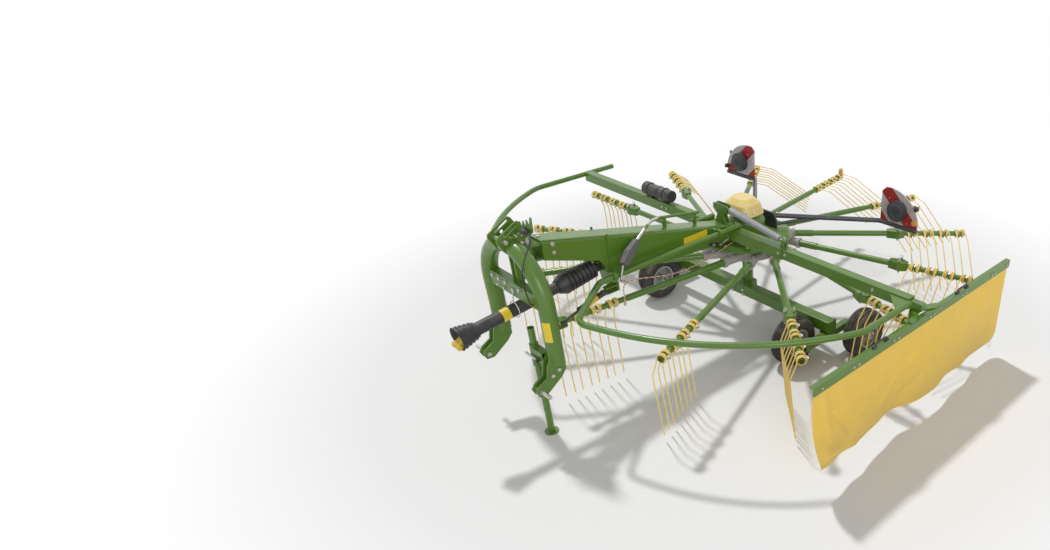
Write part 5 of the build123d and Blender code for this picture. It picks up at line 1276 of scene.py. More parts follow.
@dataclass
class LiftSpring(Assembly):
    """The close-wound spring that balances the left guard."""

    coil_radius: float = 22.5
    wire_radius: float = 3.7
    turn_pitch: float = 8.0
    hook_radius: float = 11.5
    eye_inset: float = 15.0
    reaches: tuple[float, float] = (44.0, 62.0)
    steps: int = 20
    folded: float = 0.66

    def coil(self, length: float) -> bpy.types.Object:
        """Winds the spring's body.

        Args:
            length: metres.

        Returns:
            The coil, from the origin along Z.
        """
        clear_selection()
        bpy.ops.mesh.primitive_circle_add(
            vertices=8, radius=self.wire_radius * MM, location=(self.coil_radius * MM, 0, 0),
            rotation=(math.pi / 2, 0, 0),
        )
        coil = Work("coil")
        screw = coil.body.modifiers.new("wind", "SCREW")
        screw.screw_offset = self.turn_pitch * MM
        screw.iterations = int(length / (self.turn_pitch * MM))
        screw.steps = screw.render_steps = self.steps
        bpy.ops.object.modifier_apply(modifier=screw.name)
        coil.faces(lambda middle, normal: True)
        bpy.ops.mesh.fill_holes(sides=0)
        bpy.ops.mesh.normals_make_consistent(inside=False)
        return coil.done(60)

    def build(self) -> None:
        """Winds the spring between its eyes."""
        low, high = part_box("lift_spring")
        start = self.machine.pivot("lift_spring_swing")
        end = Vector((high.x - self.eye_inset * MM, start.y, low.z + self.eye_inset * MM))
        run = (end - start).normalized()
        coil = self.coil((end - start).length - sum(self.reaches) * MM)
        coil.data.transform(aim(start + run * self.reaches[0] * MM, run))
        parts = [coil]
        for eye, toward, reach in zip((start, end), (run, -run), self.reaches):
            hook = Work.ring("hook", self.hook_radius * MM, self.wire_radius * MM, 28, 8).done(60)
            stem = Work.rod("stem", self.wire_radius * MM, (reach - 8) * MM, 10).done()
            cap = Work.rod("cap", (self.coil_radius + 2.5) * MM, 9 * MM, 28)
            cap.faces(lambda middle, normal: normal.z < -0.9).inset(9 * MM, 5 * MM)
            cap_piece = cap.round_all(1.5 * MM).done()
            for piece, along, way in ((hook, 0, BEHIND), (stem, 10, toward), (cap_piece, reach - 5, toward)):
                piece.data.transform(aim(eye + toward * along * MM, way))
                parts.append(piece)
        spring = self.fitter.fit(
            weld(parts, "wound_lift_spring"), "lift_spring", Slot.SPRING, replaces=["lift_spring"]
        )
        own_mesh(spring)


# ---------------------------------------------------------------------- tyres
@dataclass
class Wheels(Assembly):
    """Four implement tyres with ribbed treads, and the nuts and grease caps on their rims."""

    names: tuple[str, ...] = ("front_left", "rear_left", "front_right", "rear_right")
    bead_radius: float = 108.0
    squareness: float = 0.72
    grooves: tuple[float, ...] = (-34.0, -12.0, 12.0, 34.0)
    groove_half_width: float = 4.5
    groove_depth: float = 6.0
    tread_share: float = 0.93
    nuts: int = 5
    nut_circle: float = 52.0
    nut_seat: float = 15.2
    nut_size: float = 19.0

    def tyre(self, name: str, radius: float, width: float) -> bpy.types.Object:
        """One tyre about X, with grooves round its tread.

        Args:
            name: the piece's name.
            radius: outer radius in metres.
            width: metres.

        Returns:
            The piece, about the origin.
        """
        inner = self.bead_radius * MM
        middle, depth = (radius + inner) / 2, (radius - inner) / 2
        work = Work.ring(name, middle, depth, 96, 48)
        work.body.data.transform(Matrix.Rotation(math.pi / 2, 4, "Y"))
        for point in work.body.data.vertices:
            reach = math.hypot(point.co.y, point.co.z)
            up, out = (reach - middle) / depth, point.co.x / depth
            up = math.copysign(abs(up) ** self.squareness, up) if abs(up) < 1 else up
            out = math.copysign(abs(out) ** self.squareness, out)
            scale = (middle + up * depth) / reach
            point.co = Vector((out * width / 2, point.co.y * scale, point.co.z * scale))
        for groove in self.grooves:
            work.faces(
                lambda place, normal, groove=groove: abs(place.x - groove * MM) < self.groove_half_width * MM
                and math.hypot(place.y, place.z) > radius * self.tread_share
            )
            work.inset(1.2 * MM, -self.groove_depth * MM)
        return work.done(30)

    def build(self) -> None:
        """Builds the tyres and the caps, and places the wheels' nuts."""
        for name in self.names:
            body, outward = f"wheel_{name}", LEFT if "left" in name else RIGHT
            low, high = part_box(f"tyre_{name}")
            rim_low, rim_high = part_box(f"rim_{name}")
            centre = (low + high) / 2
            tyre = self.tyre(f"ribbed_tyre_{name}", (high.z - low.z) / 2, high.x - low.x)
            self.mount(tyre, Matrix.Translation(centre), body, Slot.TYRE, replaces=[f"tyre_{name}"])
            for number in range(self.nuts):
                turn = math.tau * number / self.nuts
                around = Vector((0, math.cos(turn), math.sin(turn))) * self.nut_circle * MM
                place = centre + around + outward * self.nut_seat * MM
                self.bolts.put(body, place, outward, self.nut_size)
            cap = Work.rod(f"grease_cap_{name}", 24 * MM, 14 * MM, 28).top().inset(6 * MM, 4 * MM)
            seat = (rim_high.x - rim_low.x) / 2 - 9 * MM
            self.mount(cap.round_all(2 * MM).done(), aim(centre + outward * seat, outward), body, Slot.RIM)


# -------------------------------------------------------------------- curtain
@dataclass
class SwathCurtain(Assembly):
    """The tarpaulin that hangs from the rail on the left."""

    waves: tuple[Place, ...] = ((1.16, 0.6, 0.026), (0.61, 1.9, 0.012), (0.33, 0.2, 0.005))
    creases: tuple[tuple[float, float, float, float, float, float], ...] = (
        (0.10, 0.06, 0.15, 0.48, 0.016, 0.030), (0.08, 0.58, 0.38, 0.66, 0.027, 0.043),
        (0.42, 0.46, 0.72, 0.30, 0.014, 0.024), (0.72, 0.50, 1.16, 0.22, 0.016, 0.027),
        (0.95, 0.56, 1.22, 0.44, -0.014, 0.025), (1.18, 0.42, 1.52, 0.16, 0.014, 0.024),
        (1.45, 0.52, 1.66, 0.34, 0.012, 0.025), (1.60, 0.06, 1.78, 0.30, 0.009, 0.021),
        (1.96, 0.10, 2.08, 0.52, 0.018, 0.034), (2.16, 0.05, 2.14, 0.40, -0.011, 0.025),
        (0.30, 0.10, 0.62, 0.16, 0.008, 0.019), (0.20, 0.30, 0.34, 0.52, -0.014, 0.025),
    )
    grid: tuple[int, int] = (230, 52)
    thickness: float = 2.0
    corner: float = 90.0
    fall: float = 0.68
    sway_at_rail: float = 0.06
    sway_growth: float = 1.4
    crease_from_rail: float = 5.0
    front_reach: float = 0.40
    front_pull: float = 0.075
    front_bow: float = 0.022
    ripple: tuple[float, float] = (0.006, 9.0)
    front_rise: float = 82.0
    top_inset: float = 4.0
    rail_inset: float = 24.0
    hem_radius: float = 2.6
    hem_drop: float = 0.965
    hem_share: float = 0.955
    hem_steps: int = 160
    flat_shares: tuple[float, float] = (1.01, 1.07)
    area_share: float = 1.005
    handle_reach: float = 60.0

    def __post_init__(self) -> None:
        """Takes the cloth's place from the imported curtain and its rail."""
        self.low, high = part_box("curtain")
        self.rail_low, self.rail_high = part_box("curtain_rail")
        self.length, self.top = high.y - self.low.y, high.z - self.top_inset * MM

    def crease(self, along: float, drop: float) -> float:
        """The height of the soft diagonal creases at a place.

        Args:
            along: metres from the front edge.
            drop: share of the way from the rail to the hem.

        Returns:
            Metres to the left.
        """
        height = 0.0
        place = Vector((along, drop * self.fall))
        for first, first_drop, last, last_drop, size, width in self.creases:
            start, run = Vector((first, first_drop)), Vector((last - first, last_drop - first_drop))
            share = min(1.0, max(0.0, (place - start).dot(run) / run.length_squared))
            gap = (place - start - run * share).length
            height += size * math.exp(-((gap / width) ** 2)) * (1.0 - 0.5 * share)
        return height

    def skin(self, share: float, drop: float) -> Vector:
        """A place on the cloth.

        Args:
            share: share of the way from the front edge to the rear one.
            drop: share of the way from the rail to the hem.

        Returns:
            The place in the shared frame.
        """
        along = share * self.length
        swing = sum(size * math.sin(math.tau * along / wave + phase) for wave, phase, size in self.waves)
        sway = self.sway_at_rail + (1 - self.sway_at_rail) * drop ** self.sway_growth
        depth = swing * sway + self.crease(along, drop) * min(1.0, drop * self.crease_from_rail)
        near = math.exp(-((along / self.front_reach) ** 2))
        drift = near * (self.front_pull * drop ** 2 - self.front_bow * math.sin(math.pi * drop))
        rise, rate = self.ripple
        hem = self.low.z + self.front_rise * MM * (1 - share) + rise * math.sin(along * rate)
        corner = self.corner * MM
        near_end = max(0.0, (along - (self.length - corner)) / corner)
        hem += corner * (1 - math.sqrt(max(0.0, 1 - near_end * near_end)))
        x_face = self.rail_low.x + self.rail_inset * MM
        return Vector((x_face + depth, self.low.y + along + drift, self.top + (hem - self.top) * drop))

    def build(self) -> None:
        """Builds the cloth, its welded hem, and the rail's bolts and hand loops."""
        clear_selection()
        bpy.ops.mesh.primitive_grid_add(x_subdivisions=self.grid[0], y_subdivisions=self.grid[1], size=1)
        cloth = Work("swath_curtain")
        for point in cloth.body.data.vertices:
            point.co = self.skin(point.co.x + 0.5, 0.5 - point.co.y)
        sheet = self.fitter.fit(
            cloth.thicken(self.thickness).done(60), "curtain", Slot.CURTAIN, replaces=["curtain"]
        )
        shares = (step / self.hem_steps * self.hem_share for step in range(self.hem_steps + 1))
        edge = [self.skin(share, self.hem_drop) for share in shares]
        hem = self.fitter.fit(wire(edge, self.hem_radius, "curtain_hem", sides=1), "curtain", Slot.CURTAIN)
        face, rail = self.rail_high.x - 1 * MM, self.rail_high.y - self.rail_low.y
        spots = [(0.03, 0.0), (0.98, 0.0)]
        spots += [(0.17 + 0.18 * pair, side) for pair in range(5) for side in (-0.024, 0.024)]
        for share, side in spots:
            place = Vector((face, self.rail_low.y + rail * share + side, self.rail_low.z + 30 * MM))
            self.bolts.put("curtain", place, LEFT, 15)
        for share, name in ((0.28, "front"), (0.70, "rear")):
            self._handle(Vector((face - 6 * MM, self.rail_low.y + rail * share, self.rail_high.z)), name)

    def _handle(self, middle: Vector, name: str) -> None:
        """A hand loop on the rail, with its two feet.

        Args:
            middle: the loop's middle, on the rail's top.
            name: which of the two it is.
        """
        reach = self.handle_reach
        corners = ((-reach, -4), (-reach, 30), (reach, 30), (reach, -4))
        loop = rounded([middle + Vector((0, across, up)) * MM for across, up in corners], 15)
        parts = [wire(loop, 7, "handle", sides=4)]
        for across in (-reach, reach):
            foot = Work.block("foot", Vector((22, 34, 16)) * MM, middle + Vector((0, across, 7)) * MM)
            parts.append(foot.top().inset(4 * MM, 3 * MM).round_all(2 * MM).done())
        self.fitter.fit(weld(parts, f"rail_handle_{name}"), "curtain", Slot.PLASTIC)


# ----------------------------------------------------------------- drive shaft
@dataclass
class ShaftGuards(Assembly):
    """The ribbed cone at the shaft's free end, and the plain bands on guard tube and damper."""

    forward: Place = (0.0, -0.9936, -0.1129)
    cone_start: float = 936.0
    collar: tuple[float, float] = (52.0, 14.0)
    ribs: int = 4
    rib_steps: tuple[tuple[float, float], ...] = ((0.0, 2.0), (2.0, 11.0), (-4.0, 3.0), (-3.0, 10.0))
    first_rib: float = 59.0
    rib_growth: float = 5.5
    mouth_radius: float = 80.0
    lip: tuple[float, float] = (3.0, 6.0)
    floor: float = 22.0
    floor_radius: float = 46.0
    wall: float = 5.0
    band_at: float = 703.0
    band: tuple[float, float] = (42.2, 57.0)
    damper_front: Place = (100.0, -1480.0, 825.0)
    damper_rear: Place = (340.0, -1975.0, 882.0)
    damper_radius: float = 21.0
    strip_at: float = 150.0
    strip: tuple[float, float] = (130.0, 200.0)
    rings: tuple[int, int] = (52, 360)

    def cone(self) -> bpy.types.Object:
        """Draws the cone out ring by ring and hollows its mouth.

        Returns:
            The cone along Z.
        """
        radius, length = self.collar
        work = Work.rod("guard_cone", radius * MM, length * MM, 72).top()
        steps: list[tuple[float, float]] = []
        for rib in range(self.ribs):
            crest = self.first_rib + rib * self.rib_growth
            steps += [(crest + wider, rise) for wider, rise in self.rib_steps]
        steps += [(self.mouth_radius, rise) for rise in self.lip]
        for wanted, rise in steps:
            work.extrude(UP * rise * MM).resize(Vector((wanted / radius, wanted / radius, 1)))
            radius = wanted
        work.inset(self.wall * MM)
        depth = length + sum(rise for _radius, rise in steps) - self.floor
        taper = self.floor_radius / (self.mouth_radius - self.wall)
        work.extrude(UP * -depth * MM).resize(Vector((taper, taper, 1)))
        return work.round_all(1.2 * MM, 2, 40).done(32)

    def build(self) -> None:
        """Builds the cone and the bands."""
        pivot, forward = self.machine.pivot("shaft_swing"), Vector(self.forward)
        place = aim(pivot + forward * self.cone_start * MM, forward)
        self.mount(self.cone(), place, "drive_shaft", Slot.PLASTIC, replaces=["shaft_cone"])
        radius, length = self.band
        band = Work.rod("guard_band", radius * MM, length * MM, 64).round_all(0.5 * MM, 1).done()
        place = aim(pivot + forward * self.band_at * MM, forward)
        self.mount(band, place, "drive_shaft", Slot.PLASTIC, extra="yellow")
        front, rear = self.machine.at(*self.damper_front), self.machine.at(*self.damper_rear)
        run = (rear - front).normalized()
        strip = film(self.damper_radius + 0.4, *self.strip, "damper_strip")
        place = aim(front + run * self.strip_at * MM, run)
        self.mount(strip, place, "damper_barrel", Slot.DAMPER, extra="yellow")
        for step in self.rings:
            ring = Work.ring(f"damper_ring_{step}", (self.damper_radius + 0.6) * MM, 2.2 * MM, 40, 8)
            self.mount(ring.done(60), aim(front + run * step * MM, run), "damper_barrel", Slot.DAMPER)


def film(radius: float, length: float, arc: float, name: str) -> bpy.types.Object:
    """A thin blank film on a round tube.

    Args:
        radius: the film's radius in millimetres.
        length: millimetres along Z.
        arc: degrees that it covers, about X.
        name: the piece's name.

    Returns:
        The film, from the origin along Z.
    """
    clear_selection()
    bpy.ops.mesh.primitive_grid_add(x_subdivisions=20, y_subdivisions=2, size=1)
    sheet = Work(name)
    for point in sheet.body.data.vertices:
        turn = math.radians(point.co.x * arc)
        place = Vector((math.cos(turn) * radius, math.sin(turn) * radius, (point.co.y + 0.5) * length))
        point.co = place * MM
    sheet.thicken(0.4).faces(lambda middle, normal: True)
    bpy.ops.mesh.normals_make_consistent(inside=False)
    return sheet.done(50)


# --------------------------------------------------------------------- lights
@dataclass
class RoadLights(Assembly):
    """The lamps and lenses, the side markers and the reflectors."""

    lamp_x: float = 905.0
    lamp_z: float = 948.0
    board_front: float = 842.0
    board_rear: float = 856.0
    lamp_radius: float = 86.0
    lamp_depth: float = 43.0
    lamp_steps: tuple[tuple[float, float], ...] = ((9, -6), (12, 9), (22, 5), (6, -4))
    glands: tuple[float, ...] = (90, 210, 330)
    gland_circle: float = 19.0
    spots: tuple[tuple[float, str], ...] = ((906, "amber"), (1000, "red"))
    spot_x: float = 1052.0
    marker_x: float = 1084.0
    marker_y: float = 828.0
    marker_heights: tuple[float, float] = (1010.0, 874.0)
    dome_steps: tuple[float, ...] = (0.10, 0.16, 0.22)
    dome_rise: float = 0.16
    bolt_places: tuple[tuple[float, float], ...] = ((812, 862), (998, 862), (812, 1034), (998, 1034))
    front_spot: tuple[float, float] = (1066, 884)
    arm_spot: tuple[float, float] = (1842, 20)
    marked_arm: int = 5

    def lamp(self, name: str) -> bpy.types.Object:
        """The stepped back of a lamp, with its three cable glands.

        Args:
            name: the piece's name.

        Returns:
            The piece, which stands on the origin along Z.
        """
        back = Work.rod("lamp_back", self.lamp_radius * MM, self.lamp_depth * MM, 64).top()
        for width, rise in self.lamp_steps:
            back.inset(width * MM, rise * MM)
        parts = [back.round_all(2.5 * MM, 3).done(28)]
        for turn in self.glands:
            gland = Work.rod("gland", 7 * MM, 12 * MM, 16).top().inset(2 * MM, 2 * MM).done()
            around = Matrix.Rotation(math.radians(turn), 4, "Z") @ (LEFT * self.gland_circle)
            gland.data.transform(Matrix.Translation((around + UP * (self.lamp_depth - 3)) * MM))
            parts.append(gland)
        return weld(parts, name)

    def lens(self, radius: float, height: float, name: str) -> bpy.types.Object:
        """A domed lens.

        Args:
            radius: millimetres.
            height: millimetres of its rim.
            name: the piece's name.

        Returns:
            The lens, which stands on the origin along Z.
        """
        lens = Work.rod(name, radius * MM, height * MM, 48).top()
        for step in self.dome_steps:
            lens.inset(radius * step * MM, height * self.dome_rise * MM)
        return lens.round_all(1.0 * MM).done(50)

    def build(self) -> None:
        """Builds both sides' lights, the front reflector and the marked arm's one."""
        at = self.machine.at
        for (side, name), marker_z in zip(SIDES, self.marker_heights):
            place = aim(at(side * self.lamp_x, self.board_front, self.lamp_z), AHEAD)
            self.mount(
                self.lamp(f"lamp_{name}"), place, "frame", Slot.PLASTIC, extra="lamp_grey",
                replaces=["tail_lamps"],
            )
            place = aim(at(side * self.lamp_x, self.board_rear, self.lamp_z), BEHIND)
            self.mount(self.lens(58, 9, f"rear_lens_{name}"), place, "frame", Slot.BOARD, extra="red")
            for up, tone in self.spots:
                spot = self.lens(22, 5, f"reflector_{name}_{tone}")
                place = aim(at(side * self.spot_x, self.board_rear, up), BEHIND)
                self.mount(spot, place, "frame", Slot.BOARD, extra=tone)
            marker = Work.block(f"marker_{name}", Vector((26, 44, 34)) * MM)
            marker.faces(lambda middle, normal: normal.y < -0.9).inset(5 * MM, -4 * MM)
            place = Matrix.Translation(at(side * self.marker_x, self.marker_y, marker_z))
            self.mount(marker.round_all(4 * MM, 3).done(), place, "frame", Slot.PLASTIC)
            for across, up in self.bolt_places:
                self.bolts.put("frame", at(side * across, self.board_front, up), AHEAD, 10)
        across, up = self.front_spot
        place = aim(at(across, self.board_front, up), AHEAD)
        self.mount(self.lens(24, 12, "front_reflector"), place, "frame", Slot.BOARD, extra="amber")
        foot, outward, _leading = TineRotor(self.machine, self.fitter, self.bolts).arm(self.marked_arm)
        along, up = self.arm_spot
        place = aim(foot + outward * along * MM + UP * up * MM, UP)
        self.mount(self.lens(22, 40, "arm_reflector"), place, "rotor", Slot.TINE, extra="amber")


# ----------------------------------------------------------------- fastenings
@dataclass(frozen=True)
class BoltRow:
    """Like bolts on one node, by machine millimetres."""

    node: str
    body: str
    size: float
    direction: Place
    places: tuple[Place, ...]


BOLT_ROWS = (
    BoltRow("dome_cover", "frame", 22, (0.75, -0.66, 0.2), ((122, -120, 985), (138, -60, 985))),
    BoltRow("boom", "frame", 24, (1, 0, 0), (
        (84, -1820, 1280), (84, -1820, 1225), (84, -700, 900), (84, -300, 850),
    )),
    BoltRow("boom", "frame", 24, (-1, 0, 0), ((-84, -1820, 1280), (-84, -1820, 1225), (-84, -700, 900))),
    BoltRow("boom", "frame", 19, (0, 0, 1), ((-60, -180, 900), (60, -180, 900), (0, -1860, 1330))),
    BoltRow("headstock_arch", "headstock", 24, (0, -1, 0), tuple(
        (x, -2095, 1062) for x in (-230, -150, -70, 90)
    )),
    BoltRow("headstock_arch", "headstock", 19, (0, -1, 0), tuple((x, -2095, 1008) for x in (-190, -110))),
    BoltRow("swivel_pin", "headstock", 44, (0, 0, 1), ((0, -1945, 1388),)),
    BoltRow("top_link_bracket", "headstock", 19, (1, 0, 0), (
        (58, -2005, 1345), (58, -2035, 1400), (58, -1985, 1325),
    )),
    BoltRow("top_link_bracket", "headstock", 19, (-1, 0, 0), ((-58, -2005, 1345), (-58, -2035, 1400))),
    BoltRow("lower_link_plates", "headstock", 24, (1, 0, 0), (
        (360, -2090, 640), (360, -2130, 560), (360, -2080, 585),
    )),
    BoltRow("lower_link_plates", "headstock", 24, (-1, 0, 0), ((-360, -2090, 640), (-360, -2130, 560))),
    BoltRow("hose_rack", "headstock", 13, (0, -1, 0), ((90, -2030, 1420), (130, -2030, 1420))),
    BoltRow("rocker_left", "frame", 30, (1, 0, 0), ((1010, -90, 197),)),
    BoltRow("rocker_right", "frame", 30, (-1, 0, 0), ((-1010, -90, 197),)),
    BoltRow("axle_beam", "frame", 24, (0, -1, 0), (
        (60, -120, 290), (-60, -120, 290), (60, -120, 250), (-60, -120, 250),
    )),
    BoltRow("spring_mast", "frame", 19, (0, -1, 0), ((-50, -299, 960), (50, -299, 960))),
    BoltRow("shaft_bearing", "frame", 17, (0, 1, 0), tuple(
        (x, -1386, z) for x in (-45, 45) for z in (930, 1015)
    )),
    BoltRow("curtain_carrier", "curtain", 19, (0, 0, 1), tuple(
        (x, -270, 908) for x in (1290, 1380, 1600, 1750)
    )),
    BoltRow("guard_beam_left", "guard_left", 19, (0, -1, 0), tuple(
        (x, -310, 880) for x in (640, 700, 1500, 1700)
    )),
    BoltRow("guard_beam_right", "guard_right", 19, (0, -1, 0), tuple((x, -305, 880) for x in (-640, -700))),
    BoltRow("light_arms", "frame", 17, (0, 0, 1), (
        (-130, 230, 860), (130, 230, 860), (-850, 830, 880), (850, 830, 880),
    )),
)


@dataclass
class Fastenings(Assembly):
    """Bolts that sit on the frame's own plates, and the rotor housing's ring of them."""

    housing_bolts: int = 12
    housing_circle: float = 345.0
    housing_top: float = 790.0
    reach: float = 50.0
    seat: float = 0.2

    def build(self) -> None:
        """Seats each bolt on the skin of its node."""
        turns = [math.tau * (number + 0.5) / self.housing_bolts for number in range(self.housing_bolts)]
        circle = tuple(
            (math.cos(turn) * self.housing_circle, math.sin(turn) * self.housing_circle, self.housing_top)
            for turn in turns
        )
        for row in (*BOLT_ROWS, BoltRow("rotor_housing", "frame", 19, (0, 0, 1), circle)):
            out = Vector(row.direction).normalized()
            for place in row.places:
                skin = self.machine.touch(row.node, self.machine.at(*place), out, self.reach * MM)
                if skin is None:
                    LOG.info("no seat on %s at %s", row.node, place)
                    continue
                self.bolts.put(row.body, skin - out * self.seat * MM, out, row.size)


# ------------------------------------------------------------------- fittings
@dataclass
class Fittings(Assembly):
    """The crank's plated rod, the latch, the jack's pin, the canister's rings and the blank films."""

    crank: tuple[Place, ...] = (
        (6.0, -918.0, 1157.5), (14.0, -975.0, 1164.0), (76.0, -1075.0, 1162.0), (116.5, -1194.0, 1112.5),
    )
    crank_hook: tuple[Place, ...] = (
        (182.5, -1378.0, 1008.0), (188.0, -1412.0, 905.0), (188.0, -1382.0, 880.0), (188.0, -1366.0, 916.0),
    )
    crank_rings: tuple[float, ...] = (0.42, 0.62)
    latch_hook: tuple[Place, ...] = (
        (98, -375, 812), (104, -320, 832), (106, -262, 842), (104, -222, 834), (104, -206, 826),
    )
    latch: Place = (93, -430, 822)
    latch_tilt: float = -14.0
    latch_bolts: tuple[Place, ...] = ((101, -470, 832), (101, -398, 814))
    pin: Place = (114.0, -2154.0, 640.0)
    knob: Place = (252.0, -2154.0, 640.0)
    canister: tuple[tuple[float, float], ...] = ((-690, 3.5), (-760, 2.0), (-880, 2.0))
    canister_y: float = -270.0
    canister_z: float = 985.0
    boom_film: Place = (84, -632, 925)
    arch_film: Place = (328, -2065, 796)
    arch_film_turn: float = 32.0

    def build(self) -> None:
        """Builds every fitting."""
        at = self.machine.at
        for route, bend, steps, radius, sides, name in (
            (self.crank, 38, 8, 11.5, 6, "crank_rod"), (self.crank_hook, 16, 6, 8.6, 6, "crank_hook"),
        ):
            self._wire(route, bend, steps, radius, sides, name)
        first, second = (at(*place) for place in self.crank[2:])
        for number, share in enumerate(self.crank_rings):
            ring = Work.ring(f"crank_ring_{number}", 11.16 * MM, 3.2 * MM, 32, 10).done(60)
            self.mount(ring, aim(first.lerp(second, share), second - first), "frame", Slot.BRIGHT)
        self._latch()
        pin = Work.rod("jack_pin", 9 * MM, 132 * MM, 24).top().inset(2 * MM, 3 * MM).round_all(1 * MM)
        self.mount(pin.done(), aim(at(*self.pin), LEFT), "headstock", Slot.BRIGHT)
        knob = Work.ring("jack_knob", 9 * MM, 8 * MM, 32, 16).done(60)
        self.mount(knob, aim(at(*self.knob), LEFT), "headstock", Slot.PLASTIC)
        for number, (across, reach) in enumerate(self.canister):
            ring = Work.ring(f"canister_ring_{number}", 50.5 * MM, reach * MM, 56, 10).done(60)
            place = aim(at(across, self.canister_y, self.canister_z), LEFT)
            self.mount(ring, place, "guard_right", Slot.PLASTIC)
        for side, name in SIDES:
            self._films(side, name)

    def _wire(
        self, route: tuple[Place, ...], bend: float, steps: int, radius: float, sides: int, name: str
    ) -> None:
        """A plated wire or rod on the frame.

        Args:
            route: its corners, in machine millimetres.
            bend: how far from a corner its round reaches.
            steps: places along each round.
            radius: its radius in millimetres.
            sides: the bevel's resolution.
            name: the piece's name.
        """
        run = rounded([self.machine.at(*place) for place in route], bend, steps)
        self.fitter.fit(wire(run, radius, name, sides), "frame", Slot.BRIGHT)

    def _latch(self) -> None:
        """The guard's latch: a black lever with two bolts, and a plated hook."""
        lever = Work.block("latch_lever", Vector((16, 150, 44)) * MM)
        lever.faces(lambda middle, normal: abs(normal.y) > 0.9).resize(Vector((1, 1, 0.45)))
        lever.faces(lambda middle, normal: normal.x > 0.9).inset(7 * MM, -2 * MM)
        tilt = Matrix.Rotation(math.radians(self.latch_tilt), 4, "X")
        place = Matrix.Translation(self.machine.at(*self.latch)) @ tilt
        self.mount(lever.round_all(3 * MM, 3).done(), place, "frame", Slot.DAMPER)
        self._wire(self.latch_hook, 16, 5, 5, 4, "latch_hook")
        for number, spot in enumerate(self.latch_bolts):
            head = HexBolt().pattern()
            head.name = f"latch_bolt_{number}"
            place = aim(self.machine.at(*spot), LEFT) @ Matrix.Scale(19, 4)
            self.mount(head, place, "frame", Slot.BRIGHT)

    def _films(self, side: int, name: str) -> None:
        """Blank yellow films: one on a side of the boom and one on a leg of the arch.

        Args:
            side: 1 for the left, -1 for the right.
            name: the side's name.
        """
        across, along, up = self.boom_film
        skin = self.machine.touch("boom", self.machine.at(side * across, along, up), LEFT * side, 0.05)
        if skin is not None:
            plate = Work.block(f"boom_film_{name}", Vector((0.8, 236, 92)) * MM, skin)
            plate.faces(lambda middle, normal: abs(normal.x) > 0.9)
            self.fitter.fit(plate.inset(4 * MM).done(), "frame", Slot.GREEN, extra="yellow")
        across, along, up = self.arch_film
        facing = Matrix.Rotation(math.radians(-90 + side * self.arch_film_turn), 4, "Z")
        place = Matrix.Translation(self.machine.at(side * across, along, up)) @ facing
        leg = film(54.4, 140.0, 60.0, f"arch_film_{name}")
        self.mount(leg, place, "headstock", Slot.GREEN, extra="yellow")


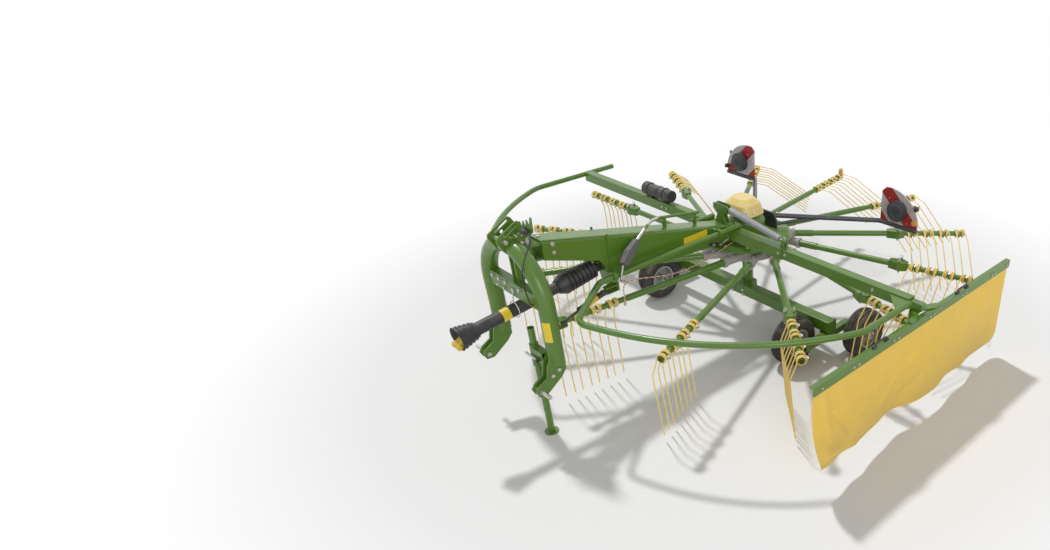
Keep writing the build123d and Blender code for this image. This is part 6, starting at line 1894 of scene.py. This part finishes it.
# --------------------------------------------------------------------- studio
@dataclass
class Studio:
    """The floor, the lamps and the camera."""

    place: Place = (3.9998, -3.6618, 3.2221)
    azimuth: float = 42.422
    elevation: float = 33.027
    roll: float = 0.243
    lens: float = 25.25
    shift: tuple[float, float] = (-0.2416, 0.0773)
    sky_strength: float = 0.40
    sun_strength: float = 1.7
    fill_strength: float = 0.85
    floor_size: float = 120.0
    floor_colour: Colour = (0.86, 0.86, 0.86)
    fade_from: float = 2.7
    fade_rate: float = 0.8

    def camera(self) -> None:
        """Places the camera."""
        turn, lift, lean = (math.radians(angle) for angle in (self.azimuth, self.elevation, self.roll))
        back = Vector((math.sin(turn) * math.cos(lift), -math.cos(turn) * math.cos(lift), math.sin(lift)))
        level = Vector((math.cos(turn), math.sin(turn), 0))
        upright = back.cross(level)
        right = level * math.cos(lean) + upright * math.sin(lean)
        up = back.cross(right)
        data = bpy.data.cameras.new("camera")
        data.lens = self.lens
        data.sensor_width = 36.0
        data.shift_x, data.shift_y = self.shift
        data.clip_end = 400.0
        camera = bpy.data.objects.new("camera", data)
        camera.matrix_world = Matrix.Translation(self.place) @ Matrix((right, up, back)).transposed().to_4x4()
        bpy.context.scene.collection.objects.link(camera)
        bpy.context.scene.camera = camera

    def sky(self) -> None:
        """Plain light from all round, which the camera and mirrors see as white."""
        world = bpy.data.worlds.new("sky")
        world.use_nodes = True
        bpy.context.scene.world = world
        bench = Bench(world.node_tree)
        light = world.node_tree.nodes["Background"]
        rays = bench.add("ShaderNodeLightPath").outputs
        seen = bench.math("MAXIMUM", rays["Is Camera Ray"], rays["Is Glossy Ray"])
        seen = bench.math("MAXIMUM", seen, rays["Is Transmission Ray"])
        light.inputs["Color"].default_value = (1.0, 1.0, 1.0, 1.0)
        bench.join(
            bench.math("MULTIPLY_ADD", seen, 1.0 - self.sky_strength, self.sky_strength),
            light.inputs["Strength"],
        )

    def lamps(self) -> None:
        """A sun from behind and a soft fill from the front left."""
        for name, strength, spread, toward in (
            ("sun", self.sun_strength, 4, (-0.50, 0.10, 0.92)),
            ("fill", self.fill_strength, 30, (0.80, -0.42, 0.38)),
        ):
            light = bpy.data.lights.new(name, "SUN")
            light.energy = strength
            light.angle = math.radians(spread)
            lamp = bpy.data.objects.new(name, light)
            lamp.matrix_world = aim(Vector((0, 0, 6)), Vector(toward))
            bpy.context.scene.collection.objects.link(lamp)

    def floor(self) -> None:
        """A pale floor that keeps the shadow near the object and pales into the distance."""
        clear_selection()
        bpy.ops.mesh.primitive_plane_add(size=self.floor_size)
        ground = bpy.context.object
        ground.name = "floor"
        material = bpy.data.materials.new("pale floor")
        material.use_nodes = True
        bench = Bench(material.node_tree)
        shader = material.node_tree.nodes["Principled BSDF"]
        shader.inputs["Base Color"].default_value = rgba(self.floor_colour)
        shader.inputs["Roughness"].default_value = 0.9
        shader.inputs["Specular IOR Level"].default_value = 0.1
        glow = bench.add("ShaderNodeEmission")
        far = bench.add("ShaderNodeVectorMath", operation="LENGTH")
        bench.join(bench.place(), far.inputs[0])
        beyond = bench.math("SUBTRACT", far.outputs["Value"], self.fade_from)
        fade = bench.math("MULTIPLY", beyond, self.fade_rate, clamp=True)
        mix = bench.add("ShaderNodeMixShader")
        bench.join(bench.math("MULTIPLY", fade, bench.seen()), mix.inputs[0])
        bench.join(shader.outputs[0], mix.inputs[1])
        bench.join(glow.outputs[0], mix.inputs[2])
        bench.join(mix.outputs[0], material.node_tree.nodes["Material Output"].inputs["Surface"])
        ground.data.materials.append(material)

    def build(self) -> None:
        """Builds the studio."""
        bpy.context.scene.view_settings.view_transform = "Standard"
        self.camera()
        self.sky()
        self.lamps()
        self.floor()


def main() -> None:
    """Builds the studio, then dresses the frame and adds each sub-assembly."""
    logging.basicConfig(level=logging.INFO, format="%(name)s: %(message)s")
    machine = Machine(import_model())
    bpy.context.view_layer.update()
    Studio().build()
    palette = Palette(machine)
    palette.dress_nodes(machine)
    fitter, bolts = Fitter(palette), BoltRack()
    for kind in (
        Cords, LiftSpring, TineRotor, Wheels, SwathCurtain, ShaftGuards, RoadLights, Fastenings, Fittings,
    ):
        kind(machine, fitter, bolts).build()
    bolts.build(fitter)


if __name__ == "__main__":
    main()
